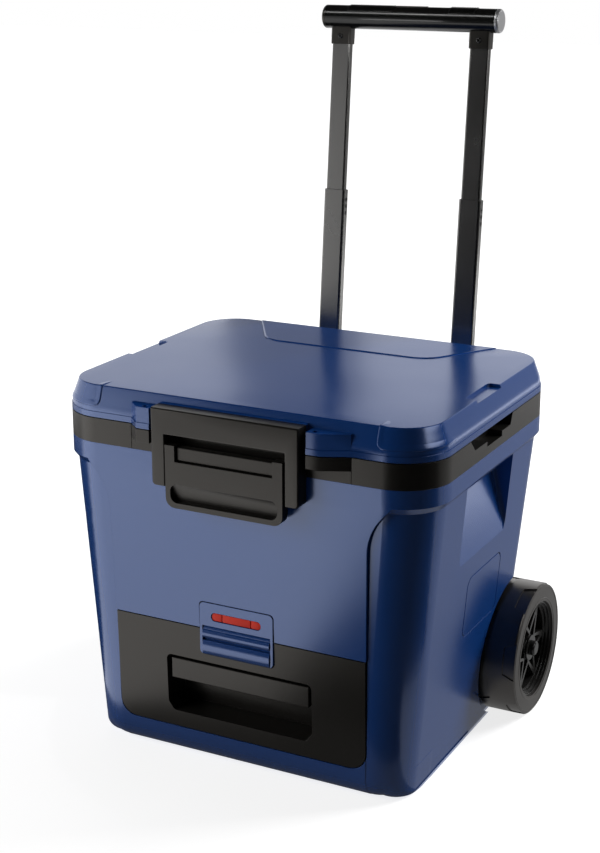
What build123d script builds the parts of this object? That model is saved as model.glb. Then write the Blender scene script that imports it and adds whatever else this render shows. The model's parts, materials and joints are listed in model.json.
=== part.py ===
from build123d import *
import os
from math import atan2, cos, sin

os.makedirs("parts", exist_ok=True)

# Body: a drafted tub-shaped box under a straight collar, a black rim band and the lid
body_width = 500.0
body_depth = 405.0
corner_radius = 60.0
collar_bottom = 372.0
collar_height = 30.0
band_height = 31.0
lid_height = 38.0
lid_gap = 1.0
collar_step = 6.0
side_draft = 30.0
back_draft = 32.0
front_draft = 12.0
base_corner = 46.0
base_round = 34.0
collar_bevel = 8.0
skirt_start = 52.0
skirt_run = 40.0
skin = 4.0

band_bottom = collar_bottom + collar_height
band_top = band_bottom + band_height
lid_bottom = band_top + lid_gap
lid_top = lid_bottom + lid_height
front_face = -body_depth / 2
back_face = body_depth / 2

# Front panel, flush with the collar and proud of the corner columns
panel_margin_low = 80.5
panel_margin_high = 77.5
panel_flare = 30.0
panel_rise = 34.0
panel_round = 70.0
seam_width = 1.3
seam_depth = 2.5

panel_half_low = body_width / 2 - panel_margin_low
panel_half_high = body_width / 2 - panel_margin_high
panel_top = collar_bottom + collar_bevel

# Drawer and its bay
drawer_margin = 0.8
drawer_bottom = 43.0
drawer_top = 184.5
drawer_corner = 22.0
drawer_gap = 1.2
drawer_setback = 92.5
bay_room = 6.0
drawer_thickness = 15.0
tray_wall = 3.0
tray_side_gap = 5.0
tray_rim_drop = 8.0
runner_width = 12.0
runner_inset = 20.0
runner_height = 3.0
slide_gap = 0.3

drawer_half = panel_half_low + drawer_margin
drawer_back = back_face - drawer_setback
bay_back = drawer_back + bay_room

# Drawer pull and drawer catch
pull_half = 100.0
pull_half_low = 92.0
pull_top = 140.0
pull_bottom = 64.0
pull_depth = 40.0
pull_shell = 4.0
pull_bar_height = 27.0
pull_bar_thickness = 10.0
pull_bar_setback = 3.0
pull_corner = 11.0
pull_round = 7.0
pull_reveal = 5.0
pull_web = 6.0
catch_half = 50.0
catch_bottom = 152.0
catch_top = 220.0
catch_split = 190.0
catch_thickness = 13.0
catch_gap = 1.0
catch_corner = 6.0
catch_proud = 1.5
slot_half = 34.0
slot_height = 11.0
slot_centre = 203.0
slot_depth = 6.0
red_setback = 0.8
catch_side_gap = 0.6
catch_pin_radius = 2.0
catch_pivot = 5.0
catch_cheek = 3.5
catch_back_plate = 3.0
catch_groove = 4.0
catch_groove_width = 3.5
catch_groove_z = 172.5
catch_ridge = 2.2

# Inner tub
insulation_side = 45.0
insulation_front = 43.5
tub_corner = 42.0
tub_wall = 3.0
tub_floor = 215.0
tub_taper = 11.0
tub_lip = 7.0
fit_gap = 0.3

tub_half_x = body_width / 2 - insulation_side
tub_half_y = body_depth / 2 - insulation_front

# Side grip pockets and the bare panel outline under the right one
pocket_half = 76.0
pocket_centre = -2.0
pocket_bottom = 272.0
pocket_depth = 27.0
pocket_slant = 18.0
pocket_round = 6.0
plate_centre_y = 17.0
plate_centre_z = 203.0
plate_width = 114.0
plate_height = 82.0
plate_depth = 1.0
plate_groove = 1.8
plate_corner = 14.0

# Rim band side notches
notch_start = -87.0
notch_end = 50.0
notch_depth = 14.0
notch_reach = 18.0
notch_lean = 14.0
notch_slot_start = -34.0
notch_slot_end = 15.0
notch_slot_drop = 6.5

# Padlock lugs on lid and band, either side of the latch
lug_start = 103.0
lug_front = 121.0
lug_end_left = 137.0
lug_end_right = 153.0
lug_proud = 15.0
band_seam = 0.4
lug_lid_height = 26.0
lug_band_height = 16.0
lug_root = 30.0
lug_hole_radius = 3.5
lug_hole_x = 112.0
lug_hole_setback = 7.5

# Front latch
latch_half = 97.0
latch_leg = 18.0
latch_bottom = 369.0
latch_drop = 8.0
latch_bar_height = 31.0
latch_thickness = 20.0
latch_gap = 0.5
lever_gap = 1.5
lever_proud = 1.5
lever_corner = 12.0
latch_edge = 2.0
latch_corner = 5.0
latch_skin = 5.0
lever_bottom = 345.0
lever_top = 402.0
lever_ear = 13.0
lever_thickness = 13.0
pivot_z = 411.0
ear_radius = 10.5
pivot_radius = 4.0
running_gap = 0.05
bar_rise = 8.3
bar_front = 6.3
bar_back = 2.7
bar_edge = 1.2
bar_gap = 0.6
scoop_height = 23.0
scoop_depth = 7.5
scoop_bow = 1.6
scoop_margin = 6.5
scoop_corner = 9.0

# Lid
flange_height = 7.0
flange_step = 1.0
dome_straight = 7.0
dome_inset = 9.0
dome_round = 30.0
crease_round = 1.5
lid_skin = 4.0
lid_cavity_margin = 1.0
lid_cavity_corner = 30.0
liner_thickness = 3.0
plug_depth = 10.0
plug_gap = 7.0
plug_corner = 36.0
gasket_width = 6.0
gasket_height = 2.6
gasket_inset = 14.0
gasket_stand = 0.6
back_panel_front = 100.0
back_panel_half = 118.0
back_panel_flare = 62.0
back_panel_depth = 1.5
back_panel_corner = 14.0
strap_start = -48.0
strap_end = 29.0
strap_inset = 25.0
strap_depth = 4.0
strap_round = 6.0

# Lid hinges
hinge_setback = 1.5
hinge_x = 135.0
hinge_width = 76.0
hinge_ear = 22.0
hinge_gap = 0.8
knuckle_radius = 8.0
knuckle_clear = 0.6
hinge_pin_radius = 4.0
hinge_root = 30.0

# Wheels and axle
wheel_radius = 87.5
tyre_width = 52.0
tyre_inner = 63.5
tyre_shoulder = 3.0
wheel_setback = 65.5
wheel_proud = 15.0
arch_gap = 7.0
arch_side_gap = 4.0
axle_radius = 6.0
axle_boss = 14.0
rim_step = 2.6
rim_step_back = 4.0
rim_step_count = 3
rim_setback = 3.0
hub_radius = 17.0
hub_setback = 8.0
spoke_spread = 13.0
spoke_setback = 11.0
spoke_count = 6
spoke_tip = 3.0
spoke_slot = 0.8
spoke_end = 12.0
spoke_wall = 4.5
web_setback = 34.0
rim_fit = 0.1
web_thickness = 4.0
tread_count = 6
tread_length = 50.0
tread_slant = 7.0
tread_depth = 1.6
tread_rise = 8.0
tread_reach = 16.0
tread_turn = 21.0
nut_radius = 10.0
nut_length = 7.0
nut_gap = 0.5
nut_cap = 2.0
nut_round = 3.0

wheel_y = back_face - wheel_setback
wheel_outer_x = body_width / 2 + wheel_proud

# Telescopic handle
post_x = 100.0
post_setback = 57.5
sleeve_width = 37.0
sleeve_depth = 20.0
sleeve_wall = 2.4
sleeve_corner = 5.0
lower_width = 31.0
lower_depth = 14.0
upper_width = 27.0
upper_depth = 10.4
upper_wall = 1.4
tube_corner = 3.0
sleeve_bottom = -445.0
sleeve_top = -38.0
lower_bottom = -125.0
lower_top = 178.0
upper_bottom = 110.0
upper_top = 380.0
lock_hole_radius = 1.6
lock_hole_pitch = 9.0
lock_hole_drop = 13.5
lock_hole_count = 3
bracket_width = 29.0
bracket_depth = 17.0
bracket_socket = 6.0
grip_radius = 15.5
grip_half = 122.0
grip_wall = 3.0
grip_rise = 30.0
cap_plug = 8.0
cap_length = 5.0
cap_round = 3.0
button_half = 22.0
button_width = 13.0
button_height = 8.0
button_stand = 0.8
button_gap = 0.4
button_corner = 4.3
carrier_top_low = -172.0
carrier_bottom_low = -440.0
carrier_height = 58.0
carrier_half = 138.0
carrier_wall = 5.0
carrier_plate = 6.0


def side_x(z):
    return body_width / 2 - collar_step - side_draft * (1 - z / collar_bottom)


def back_y(z):
    return back_face - collar_step - back_draft * (1 - z / collar_bottom)


def panel_y(z):
    return front_face + front_draft * (1 - z / collar_bottom)


def column_y(z):
    return panel_y(z) + collar_step * z / collar_bottom


def corner_at(z):
    return base_corner + (corner_radius - collar_step - base_corner) * z / collar_bottom


# A block with the body's draft, inset all round, from one height to another, with a round belly
def drafted_block(low, high, inset, front_line, belly):
    with BuildPart() as block:
        for z in (low, high):
            front = front_line(z) + inset
            back = back_y(z) - inset
            with BuildSketch(Plane.XY.offset(z)):
                with Locations((0, (front + back) / 2)):
                    RectangleRounded(2 * (side_x(z) - inset), back - front, corner_at(z) - inset)
        loft(ruled=True)
        if belly > 0:
            fillet(block.edges().group_by(Axis.Z)[0], belly)
    return block.part


# A straight block with rounded corners in plan
def plan_block(low, high, half_x, half_y, radius):
    with BuildPart() as block:
        with BuildSketch(Plane.XY.offset(low)):
            RectangleRounded(2 * half_x, 2 * half_y, radius)
        extrude(amount=high - low)
    return block.part


# A block whose rounded outline is seen from the front, between two depths
def front_block(half, low, high, radius, front, back):
    with BuildPart() as block:
        with BuildSketch(Plane.XZ.offset(-front)):
            with Locations((0, (low + high) / 2)):
                RectangleRounded(2 * half, high - low, radius)
        extrude(amount=front - back)
    return block.part


# The drawer's outline seen from the front: square at the top, round at the bottom
def drawer_block(grow, front, back):
    with BuildPart() as block:
        with BuildSketch(Plane.XZ.offset(-front)) as outline:
            with Locations((0, (drawer_bottom + drawer_top) / 2)):
                Rectangle(2 * (drawer_half + grow), drawer_top - drawer_bottom + 2 * grow)
            fillet(outline.vertices().group_by(Axis.Y)[0], drawer_corner + grow)
        extrude(amount=front - back)
    return block.part


# The drawer pull's recess: wide at the top, narrower at the bottom
def pull_block(grow, front, back):
    with BuildPart() as block:
        with BuildSketch(Plane.XZ.offset(-front)) as outline:
            with BuildLine():
                Polyline(
                    (-pull_half_low - grow, pull_bottom - grow),
                    (pull_half_low + grow, pull_bottom - grow),
                    (pull_half + grow, pull_bottom + pull_corner),
                    (pull_half + grow, pull_top + grow),
                    (-pull_half - grow, pull_top + grow),
                    (-pull_half - grow, pull_bottom + pull_corner),
                    close=True,
                )
            make_face()
            fillet(outline.vertices(), pull_round + grow)
        extrude(amount=front - back)
    return block.part


# The front panel's outline, flaring out under the collar
def panel_block(grow):
    with BuildPart() as block:
        with BuildSketch(Plane.XZ.offset(-front_face)) as outline:
            with BuildLine():
                Polyline(
                    (-panel_half_low - grow, 0),
                    (panel_half_low + grow, 0),
                    (panel_half_high + grow, panel_top - panel_rise),
                    (panel_half_high + panel_flare + grow, panel_top),
                    (-panel_half_high - panel_flare - grow, panel_top),
                    (-panel_half_high - grow, panel_top - panel_rise),
                    close=True,
                )
            make_face()
            fillet(outline.vertices().group_by(Axis.Y)[1], panel_round - grow)
        extrude(amount=-corner_radius)
    return block.part


# Space for one wheel, open to the side
def arch_space(sign, grow):
    inner = arch_inner - grow
    with BuildPart() as space:
        with BuildSketch(Plane.YZ.offset(sign * inner)):
            with Locations((wheel_y, wheel_radius)):
                Circle(wheel_radius + arch_gap + grow)
        extrude(amount=sign * (body_width / 2 - inner))
    return space.part


# Wedge-shaped hand hold under the collar, deepest at its top
def pocket_space(sign, grow):
    top = collar_bottom + grow
    low = pocket_bottom - grow
    half = pocket_half + grow
    deep = side_x(collar_bottom) - pocket_depth - grow
    with BuildPart() as space:
        with BuildSketch(Plane.XZ.offset(-(pocket_centre + half))):
            with BuildLine():
                Polyline(
                    (sign * side_x(low), low),
                    (sign * deep, top - pocket_slant),
                    (sign * deep, top),
                    (sign * body_width / 2, top),
                    (sign * body_width / 2, low),
                    close=True,
                )
            make_face()
        extrude(amount=2 * half)
        slope = space.faces().sort_by_distance((sign * deep, pocket_centre, low))[0]
        fillet(slope.edges().filter_by(Axis.Y, reverse=True), pocket_round)
    return space.part


# The tub's outside or inside, tapered below the band and straight within it
def tub_block(grow, low, high):
    foot = tub_taper * (band_bottom - low) / (band_bottom - tub_floor)
    with BuildPart() as block:
        for z, inset in ((low, foot), (band_bottom, 0)):
            with BuildSketch(Plane.XY.offset(z)):
                RectangleRounded(2 * (tub_half_x + grow - inset), 2 * (tub_half_y + grow - inset),
                                 tub_corner + grow - inset)
        loft(ruled=True)
        add(plan_block(band_bottom, high, tub_half_x + grow, tub_half_y + grow, tub_corner + grow))
    return block.part


# A padlock lug beside the latch, with a sloped outer cheek that is longer on the right
def lug_block(sign, low, high, inset):
    lug_end = (lug_end_right if sign > 0 else lug_end_left) - inset
    with BuildPart() as block:
        with BuildSketch(Plane.XY.offset(low)):
            with BuildLine():
                Polyline(
                    (sign * lug_start, front_face + lug_root),
                    (sign * lug_start, front_face + inset - lug_proud),
                    (sign * lug_front, front_face + inset - lug_proud),
                    (sign * lug_end, front_face + inset),
                    (sign * lug_end, front_face + lug_root),
                    close=True,
                )
            make_face()
        extrude(amount=high - low)
        with Locations((sign * lug_hole_x, front_face - lug_hole_setback, (low + high) / 2)):
            Cylinder(lug_hole_radius, high - low, mode=Mode.SUBTRACT)
    return block.part


# A cylinder along X between two places
def cross_rod(x_start, x_end, y, z, radius):
    with BuildPart() as rod:
        with Locations(Location(((x_start + x_end) / 2, y, z), (0, 90, 0))):
            Cylinder(radius, abs(x_end - x_start))
    return rod.part


# A length of rectangular tube or bar in the leaned frame of the handle
def post_bar(x, low, high, width, depth, radius):
    with BuildPart() as bar:
        with BuildSketch(handle_plane.offset(low)):
            with Locations((x, 0)):
                RectangleRounded(width, depth, radius)
        extrude(amount=high - low)
    return bar.part


lean = atan2(back_draft, collar_bottom)
post_y = back_face + post_setback
handle_plane = Plane(origin=(0, post_y, lid_top), x_dir=(1, 0, 0), z_dir=(0, sin(lean), cos(lean)))
grip_level = upper_top + grip_rise
grip_y = post_y + grip_level * sin(lean)
grip_z = lid_top + grip_level * cos(lean)
wall_line = (back_y(collar_bottom) - post_y) * cos(lean) - (collar_bottom - lid_top) * sin(lean)

arch_inner = wheel_outer_x - tyre_width - arch_side_gap
drawer_bay_low = drawer_bottom - drawer_gap
drawer_bay_half = drawer_half + drawer_gap
catch_front = panel_y(catch_split) - catch_proud
catch_back = catch_front + catch_thickness
seat_half = catch_half + catch_gap
seat_top = catch_top + catch_gap
seat_back = catch_back + catch_gap
hinge_y = back_face + hinge_setback
hinge_z = lid_bottom

panel_envelope = drafted_block(0, collar_bottom, 0, panel_y, base_round)
column_envelope = drafted_block(0, collar_bottom, 0, column_y, base_round)
crisp_envelope = drafted_block(0, collar_bottom, 0, column_y, 0)

# Foam space between the outer shell and the tub
with BuildPart() as core:
    add(drafted_block(skin, collar_bottom, skin, column_y, base_round - skin))
    add(plan_block(collar_bottom, band_bottom, side_x(collar_bottom) - skin,
                   back_y(collar_bottom) - skin, corner_at(collar_bottom) - skin))
    add(drawer_block(drawer_gap + skin, front_face, bay_back + skin), mode=Mode.SUBTRACT)
    add(front_block(seat_half + skin, catch_bottom, seat_top + skin, catch_corner,
                    front_face, seat_back + skin), mode=Mode.SUBTRACT)
    for sign in (-1, 1):
        add(arch_space(sign, skin), mode=Mode.SUBTRACT)
        add(pocket_space(sign, skin), mode=Mode.SUBTRACT)
    add(cross_rod(-body_width, body_width, wheel_y, wheel_radius, axle_boss), mode=Mode.SUBTRACT)

# Crisp-edged skirt along the sides and back of the base, running out towards the front corners
with BuildPart() as base_skirt:
    with BuildSketch(Plane.YZ.offset(-body_width)):
        with BuildLine():
            Polyline(
                (panel_y(0) + skirt_start + skirt_run, 0),
                (body_depth, 0),
                (body_depth, base_round),
                (panel_y(0) + skirt_start, base_round),
                close=True,
            )
        make_face()
    extrude(amount=2 * body_width)
    add(crisp_envelope, mode=Mode.INTERSECT)

# What the front panel may fill: the drafted body and the collar's straight front above it
with BuildPart() as panel_bounds:
    add(panel_envelope)
    add(plan_block(collar_bottom, panel_top, body_width / 2, body_depth / 2, corner_radius))

# Narrow seam in the columns beside the panel, above the drawer
with BuildPart() as panel_seam:
    add(panel_block(seam_width))
    add(panel_block(0), mode=Mode.SUBTRACT)
    add(column_envelope, mode=Mode.INTERSECT)
    add(drafted_block(0, collar_bottom, seam_depth, column_y, base_round - seam_depth), mode=Mode.SUBTRACT)
    Box(2 * body_width, 2 * body_depth, 2 * drawer_top, mode=Mode.SUBTRACT)

# Outer shell
with BuildPart() as body_shell:
    add(panel_block(0))
    add(panel_bounds.part, mode=Mode.INTERSECT)
    add(column_envelope)
    add(base_skirt.part)
    for z, inset in ((collar_bottom, collar_step), (panel_top, 0)):
        with BuildSketch(Plane.XY.offset(z)):
            RectangleRounded(body_width - 2 * inset, body_depth - 2 * inset, corner_radius - inset)
    loft(ruled=True)
    add(plan_block(panel_top, band_bottom, body_width / 2, body_depth / 2, corner_radius))
    add(panel_seam.part, mode=Mode.SUBTRACT)
    add(core.part, mode=Mode.SUBTRACT)
    add(drawer_block(drawer_gap, front_face, bay_back), mode=Mode.SUBTRACT)
    add(front_block(seat_half, catch_bottom, seat_top, catch_corner, front_face, seat_back),
        mode=Mode.SUBTRACT)
    for sign in (-1, 1):
        add(arch_space(sign, 0), mode=Mode.SUBTRACT)
        add(pocket_space(sign, 0), mode=Mode.SUBTRACT)
    add(cross_rod(-body_width, body_width, wheel_y, wheel_radius, axle_radius + running_gap),
        mode=Mode.SUBTRACT)
    side_plane = Plane(origin=(side_x(plate_centre_z), plate_centre_y, plate_centre_z), x_dir=(0, 1, 0),
                       z_dir=(1, 0, -side_draft / collar_bottom))
    with BuildSketch(side_plane):
        RectangleRounded(plate_width, plate_height, plate_corner)
        RectangleRounded(plate_width - 2 * plate_groove, plate_height - 2 * plate_groove,
                         plate_corner - plate_groove, mode=Mode.SUBTRACT)
    extrude(amount=-plate_depth, mode=Mode.SUBTRACT)
body_shell.part.label = "body_shell"
export_step(body_shell.part, "parts/body_shell.step")

# Insulating foam
with BuildPart() as foam_core:
    add(core.part)
    add(tub_block(tub_wall, tub_floor - tub_wall, band_top), mode=Mode.SUBTRACT)
foam_core.part.label = "foam_core"
export_step(foam_core.part, "parts/foam_core.step")

# Inner tub with its lip let into the band
with BuildPart() as inner_tub:
    add(tub_block(tub_wall, tub_floor - tub_wall, band_top))
    add(plan_block(band_top - tub_wall, band_top, tub_half_x + tub_wall + tub_lip,
                   tub_half_y + tub_wall + tub_lip, tub_corner + tub_wall + tub_lip))
    add(tub_block(0, tub_floor, band_top), mode=Mode.SUBTRACT)
inner_tub.part.label = "inner_tub"
export_step(inner_tub.part, "parts/inner_tub.step")

# Whole rim: a ring with side notches, padlock lugs and the fixed hinge knuckles
lid_knuckle_half = hinge_width / 2 - hinge_ear - hinge_gap
with BuildPart() as rim_ring:
    add(plan_block(band_bottom, band_top, body_width / 2, body_depth / 2, corner_radius))
    for sign in (-1, 1):
        add(lug_block(sign, band_top - lug_band_height, band_top, 0))
        with BuildSketch(Plane.YZ.offset(sign * (body_width / 2 - notch_reach))):
            with BuildLine():
                Polyline(
                    (notch_start, band_top),
                    (notch_start + notch_lean, band_top - notch_depth),
                    (notch_slot_start, band_top - notch_depth),
                    (notch_slot_start, band_top - notch_depth - notch_slot_drop),
                    (notch_slot_end, band_top - notch_depth - notch_slot_drop),
                    (notch_slot_end, band_top - notch_depth),
                    (notch_end - notch_slot_drop, band_top - notch_depth),
                    (notch_end, band_top),
                    close=True,
                )
            make_face()
        extrude(amount=sign * 2 * notch_reach, mode=Mode.SUBTRACT)
    ring_gap = tub_wall + fit_gap
    add(plan_block(band_bottom, band_top, tub_half_x + ring_gap, tub_half_y + ring_gap,
                   tub_corner + ring_gap), mode=Mode.SUBTRACT)
    add(plan_block(band_top - tub_wall, band_top, tub_half_x + ring_gap + tub_lip,
                   tub_half_y + ring_gap + tub_lip, tub_corner + ring_gap + tub_lip), mode=Mode.SUBTRACT)
    for x in (-hinge_x, hinge_x):
        add(cross_rod(x - hinge_width / 2, x + hinge_width / 2, hinge_y, hinge_z, knuckle_radius))
        add(cross_rod(x - lid_knuckle_half - hinge_gap, x + lid_knuckle_half + hinge_gap,
                      hinge_y, hinge_z, knuckle_radius + knuckle_clear), mode=Mode.SUBTRACT)
        add(cross_rod(x - hinge_width, x + hinge_width, hinge_y, hinge_z, hinge_pin_radius + running_gap),
            mode=Mode.SUBTRACT)

# Front length of the rim, between the outer ends of the lugs
with BuildPart() as front_length:
    with Locations(((lug_end_right - lug_end_left) / 2, front_face - lug_root, band_bottom)):
        Box(lug_end_right + lug_end_left, lug_root - front_face - tub_half_y, band_height,
            align=(Align.CENTER, Align.MIN, Align.MIN))

with BuildPart() as rim_front:
    add(rim_ring.part)
    add(front_length.part, mode=Mode.INTERSECT)
rim_front.part.label = "rim_front"
export_step(rim_front.part, "parts/rim_front.step")

# The rest of the rim, a thin seam away
with BuildPart() as rim_band:
    add(rim_ring.part)
    for shift in (-band_seam, band_seam):
        with Locations((shift, 0, 0)):
            add(front_length.part, mode=Mode.SUBTRACT)
rim_band.part.label = "rim_band"
export_step(rim_band.part, "parts/rim_band.step")

# Hinge pins
with BuildPart() as hinge_pins:
    for x in (-hinge_x, hinge_x):
        add(cross_rod(x - hinge_width / 2, x + hinge_width / 2, hinge_y, hinge_z, hinge_pin_radius))
hinge_pins.part.label = "hinge_pins"
export_step(hinge_pins.part, "parts/hinge_pins.step")

# Lid shell
dome_low = lid_bottom + flange_height + dome_straight
with BuildPart() as lid_shell:
    add(plan_block(lid_bottom, dome_low, body_width / 2 - flange_step, body_depth / 2 - flange_step,
                   corner_radius - flange_step))
    for z, inset in ((dome_low, flange_step), (lid_top, flange_step + dome_inset)):
        with BuildSketch(Plane.XY.offset(z)):
            RectangleRounded(body_width - 2 * inset, body_depth - 2 * inset, corner_radius - inset)
    loft(ruled=True)
    fillet(lid_shell.edges().filter_by_position(Axis.Z, dome_low - fit_gap, dome_low + fit_gap), dome_round)
    fillet(lid_shell.edges().group_by(Axis.Z)[-1], crease_round)
    add(plan_block(lid_bottom, lid_bottom + flange_height, body_width / 2, body_depth / 2, corner_radius))
    with BuildSketch(Plane.XY.offset(lid_top)) as back_panel:
        with BuildLine():
            Polyline(
                (-back_panel_half, back_panel_front),
                (back_panel_half, back_panel_front),
                (back_panel_half + back_panel_flare, back_face),
                (-back_panel_half - back_panel_flare, back_face),
                close=True,
            )
        make_face()
        fillet(back_panel.vertices().group_by(Axis.Y)[0], back_panel_corner)
    extrude(amount=-back_panel_depth, mode=Mode.SUBTRACT)
    for sign in (-1, 1):
        with BuildSketch(Plane.XY.offset(lid_top)) as strap:
            with Locations((sign * body_width / 2, (strap_start + strap_end) / 2)):
                Rectangle(2 * strap_inset, strap_end - strap_start)
            fillet(strap.vertices(), strap_round)
        extrude(amount=-strap_depth, mode=Mode.SUBTRACT)
        add(lug_block(sign, lid_bottom, lid_bottom + flange_height, 0))
        add(lug_block(sign, lid_bottom + flange_height, lid_bottom + lug_lid_height, flange_step))
    latch_back = front_face - latch_gap
    latch_front = latch_back - latch_thickness
    latch_top = lid_top - latch_drop
    with Locations((0, latch_back, lid_bottom)):
        Box(2 * latch_half, lug_root, latch_top - lid_bottom,
            align=(Align.CENTER, Align.MIN, Align.MIN))
    cavity_top = lid_top - max(back_panel_depth, strap_depth) - lid_skin
    cavity_rim = tub_wall + tub_lip + lid_cavity_margin
    cavity_half_x = tub_half_x + cavity_rim
    cavity_half_y = tub_half_y + cavity_rim
    add(plan_block(lid_bottom, cavity_top, cavity_half_x, cavity_half_y, lid_cavity_corner),
        mode=Mode.SUBTRACT)
    for x in (-hinge_x, hinge_x):
        add(cross_rod(x - hinge_width / 2 - hinge_gap, x + hinge_width / 2 + hinge_gap, hinge_y, hinge_z,
                      knuckle_radius + knuckle_clear), mode=Mode.SUBTRACT)
        add(cross_rod(x - lid_knuckle_half, x + lid_knuckle_half, hinge_y, hinge_z, knuckle_radius))
        with Locations((x, hinge_y, hinge_z)):
            Box(2 * lid_knuckle_half, hinge_root, knuckle_radius,
                align=(Align.CENTER, Align.MAX, Align.MIN))
        add(cross_rod(x - hinge_width, x + hinge_width, hinge_y, hinge_z, hinge_pin_radius + running_gap),
            mode=Mode.SUBTRACT)
    gasket_half_x = body_width / 2 - gasket_inset
    gasket_half_y = body_depth / 2 - gasket_inset
    gasket_corner = corner_radius - gasket_inset
    with BuildSketch(Plane.XY.offset(lid_bottom)):
        RectangleRounded(2 * gasket_half_x, 2 * gasket_half_y, gasket_corner)
        RectangleRounded(2 * (gasket_half_x - gasket_width), 2 * (gasket_half_y - gasket_width),
                         gasket_corner - gasket_width, mode=Mode.SUBTRACT)
    extrude(amount=gasket_height - gasket_stand, mode=Mode.SUBTRACT)
lid_shell.part.label = "lid_shell"
export_step(lid_shell.part, "parts/lid_shell.step")

# Seal pressed into the lid's groove
with BuildPart() as lid_gasket:
    with BuildSketch(Plane.XY.offset(lid_bottom - gasket_stand)):
        RectangleRounded(2 * gasket_half_x, 2 * gasket_half_y, gasket_corner)
        RectangleRounded(2 * (gasket_half_x - gasket_width), 2 * (gasket_half_y - gasket_width),
                         gasket_corner - gasket_width, mode=Mode.SUBTRACT)
    extrude(amount=gasket_height)
lid_gasket.part.label = "lid_gasket"
export_step(lid_gasket.part, "parts/lid_gasket.step")

# Lid liner: a flange inside the lid and a shallow pan that plugs the tub
plug_half_x = tub_half_x - plug_gap
plug_half_y = tub_half_y - plug_gap
with BuildPart() as lid_liner:
    add(plan_block(lid_bottom, lid_bottom + liner_thickness, cavity_half_x, cavity_half_y, lid_cavity_corner))
    add(plan_block(lid_bottom - plug_depth, lid_bottom, plug_half_x, plug_half_y, plug_corner))
    add(plan_block(lid_bottom - plug_depth + liner_thickness, lid_bottom + liner_thickness,
                   plug_half_x - liner_thickness, plug_half_y - liner_thickness,
                   plug_corner - liner_thickness), mode=Mode.SUBTRACT)
lid_liner.part.label = "lid_liner"
export_step(lid_liner.part, "parts/lid_liner.step")

# Foam in the lid
with BuildPart() as lid_foam:
    add(plan_block(lid_bottom + liner_thickness, cavity_top, cavity_half_x, cavity_half_y, lid_cavity_corner))
    add(plan_block(lid_bottom - plug_depth + liner_thickness, lid_bottom + liner_thickness,
                   plug_half_x - liner_thickness, plug_half_y - liner_thickness,
                   plug_corner - liner_thickness))
lid_foam.part.label = "lid_foam"
export_step(lid_foam.part, "parts/lid_foam.step")

# Latch frame, an upside-down U on the lid's front
opening_half = latch_half - latch_leg
lever_half = opening_half - lever_gap
lever_front = latch_front - lever_proud
pivot_y = lever_front + ear_radius
with BuildPart() as latch_frame:
    with BuildSketch(Plane.XZ.offset(-latch_front)) as frame_outline:
        with BuildLine():
            Polyline(
                (-latch_half, latch_bottom),
                (-opening_half, latch_bottom),
                (-opening_half, latch_top - latch_bar_height),
                (opening_half, latch_top - latch_bar_height),
                (opening_half, latch_bottom),
                (latch_half, latch_bottom),
                (latch_half, latch_top),
                (-latch_half, latch_top),
                close=True,
            )
        make_face()
        feet = frame_outline.vertices().group_by(Axis.Y)[0].sort_by(Axis.X)
        fillet([feet[0], feet[-1]], latch_corner)
    extrude(amount=-latch_thickness)
    fillet(latch_frame.faces().sort_by(Axis.Y)[0].outer_wire().edges(), latch_edge)
    reach = opening_half + latch_leg - latch_skin
    add(cross_rod(-reach, reach, pivot_y, pivot_z, pivot_radius + running_gap), mode=Mode.SUBTRACT)
latch_frame.part.label = "latch_frame"
export_step(latch_frame.part, "parts/latch_frame.step")

# Flat plate between the lever's ears, on trunnions that are the lever's pivot
plate_half = lever_half - lever_ear - bar_gap
with BuildPart() as latch_bar:
    with Locations((0, pivot_y - bar_front, lever_top + bar_gap)):
        Box(2 * plate_half, bar_front + bar_back, pivot_z + bar_rise - lever_top - bar_gap,
            align=(Align.CENTER, Align.MIN, Align.MIN))
    fillet(latch_bar.faces().sort_by(Axis.Y)[0].edges(), bar_edge)
    add(cross_rod(-reach, reach, pivot_y, pivot_z, pivot_radius))
latch_bar.part.label = "latch_bar"
export_step(latch_bar.part, "parts/latch_bar.step")

# Latch lever with flat-fronted ears and a scooped finger rest that ends in a lip
scoop_low = lever_bottom + scoop_margin
scoop_high = scoop_low + scoop_height
with BuildPart() as scoop:
    with BuildSketch(Plane.YZ.offset(-lever_half)):
        with BuildLine():
            Polyline(
                (lever_front + scoop_depth, scoop_low),
                (lever_front - lever_proud, scoop_low),
                (lever_front - lever_proud, scoop_high),
                (lever_front, scoop_high),
            )
            ThreePointArc(
                (lever_front, scoop_high),
                (lever_front + scoop_depth / 2 + scoop_bow, (scoop_low + scoop_high) / 2),
                (lever_front + scoop_depth, scoop_low),
            )
        make_face()
    extrude(amount=2 * lever_half)
    add(front_block(lever_half - scoop_margin, scoop_low, scoop_high, scoop_corner,
                    lever_front - lever_proud, lever_front + lever_thickness), mode=Mode.INTERSECT)
with BuildPart() as latch_lever:
    with BuildSketch(Plane.XZ.offset(-lever_front)) as plate_outline:
        with Locations((0, lever_bottom)):
            Rectangle(2 * lever_half, lever_top - lever_bottom, align=(Align.CENTER, Align.MIN))
        fillet(plate_outline.vertices().group_by(Axis.Y)[0], lever_corner)
    extrude(amount=-lever_thickness)
    for sign in (-1, 1):
        with Locations((sign * (lever_half - lever_ear / 2), lever_front, lever_top)):
            Box(lever_ear, ear_radius, pivot_z + ear_radius - lever_top,
                align=(Align.CENTER, Align.MIN, Align.MIN))
        with Locations((sign * (lever_half - lever_ear / 2), lever_front, lever_top)):
            Box(lever_ear, lever_thickness, pivot_z - lever_top, align=(Align.CENTER, Align.MIN, Align.MIN))
        add(cross_rod(sign * (lever_half - lever_ear), sign * lever_half, pivot_y, pivot_z, ear_radius))
    add(scoop.part, mode=Mode.SUBTRACT)
    add(cross_rod(-reach, reach, pivot_y, pivot_z, pivot_radius + running_gap), mode=Mode.SUBTRACT)
latch_lever.part.label = "latch_lever"
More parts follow.
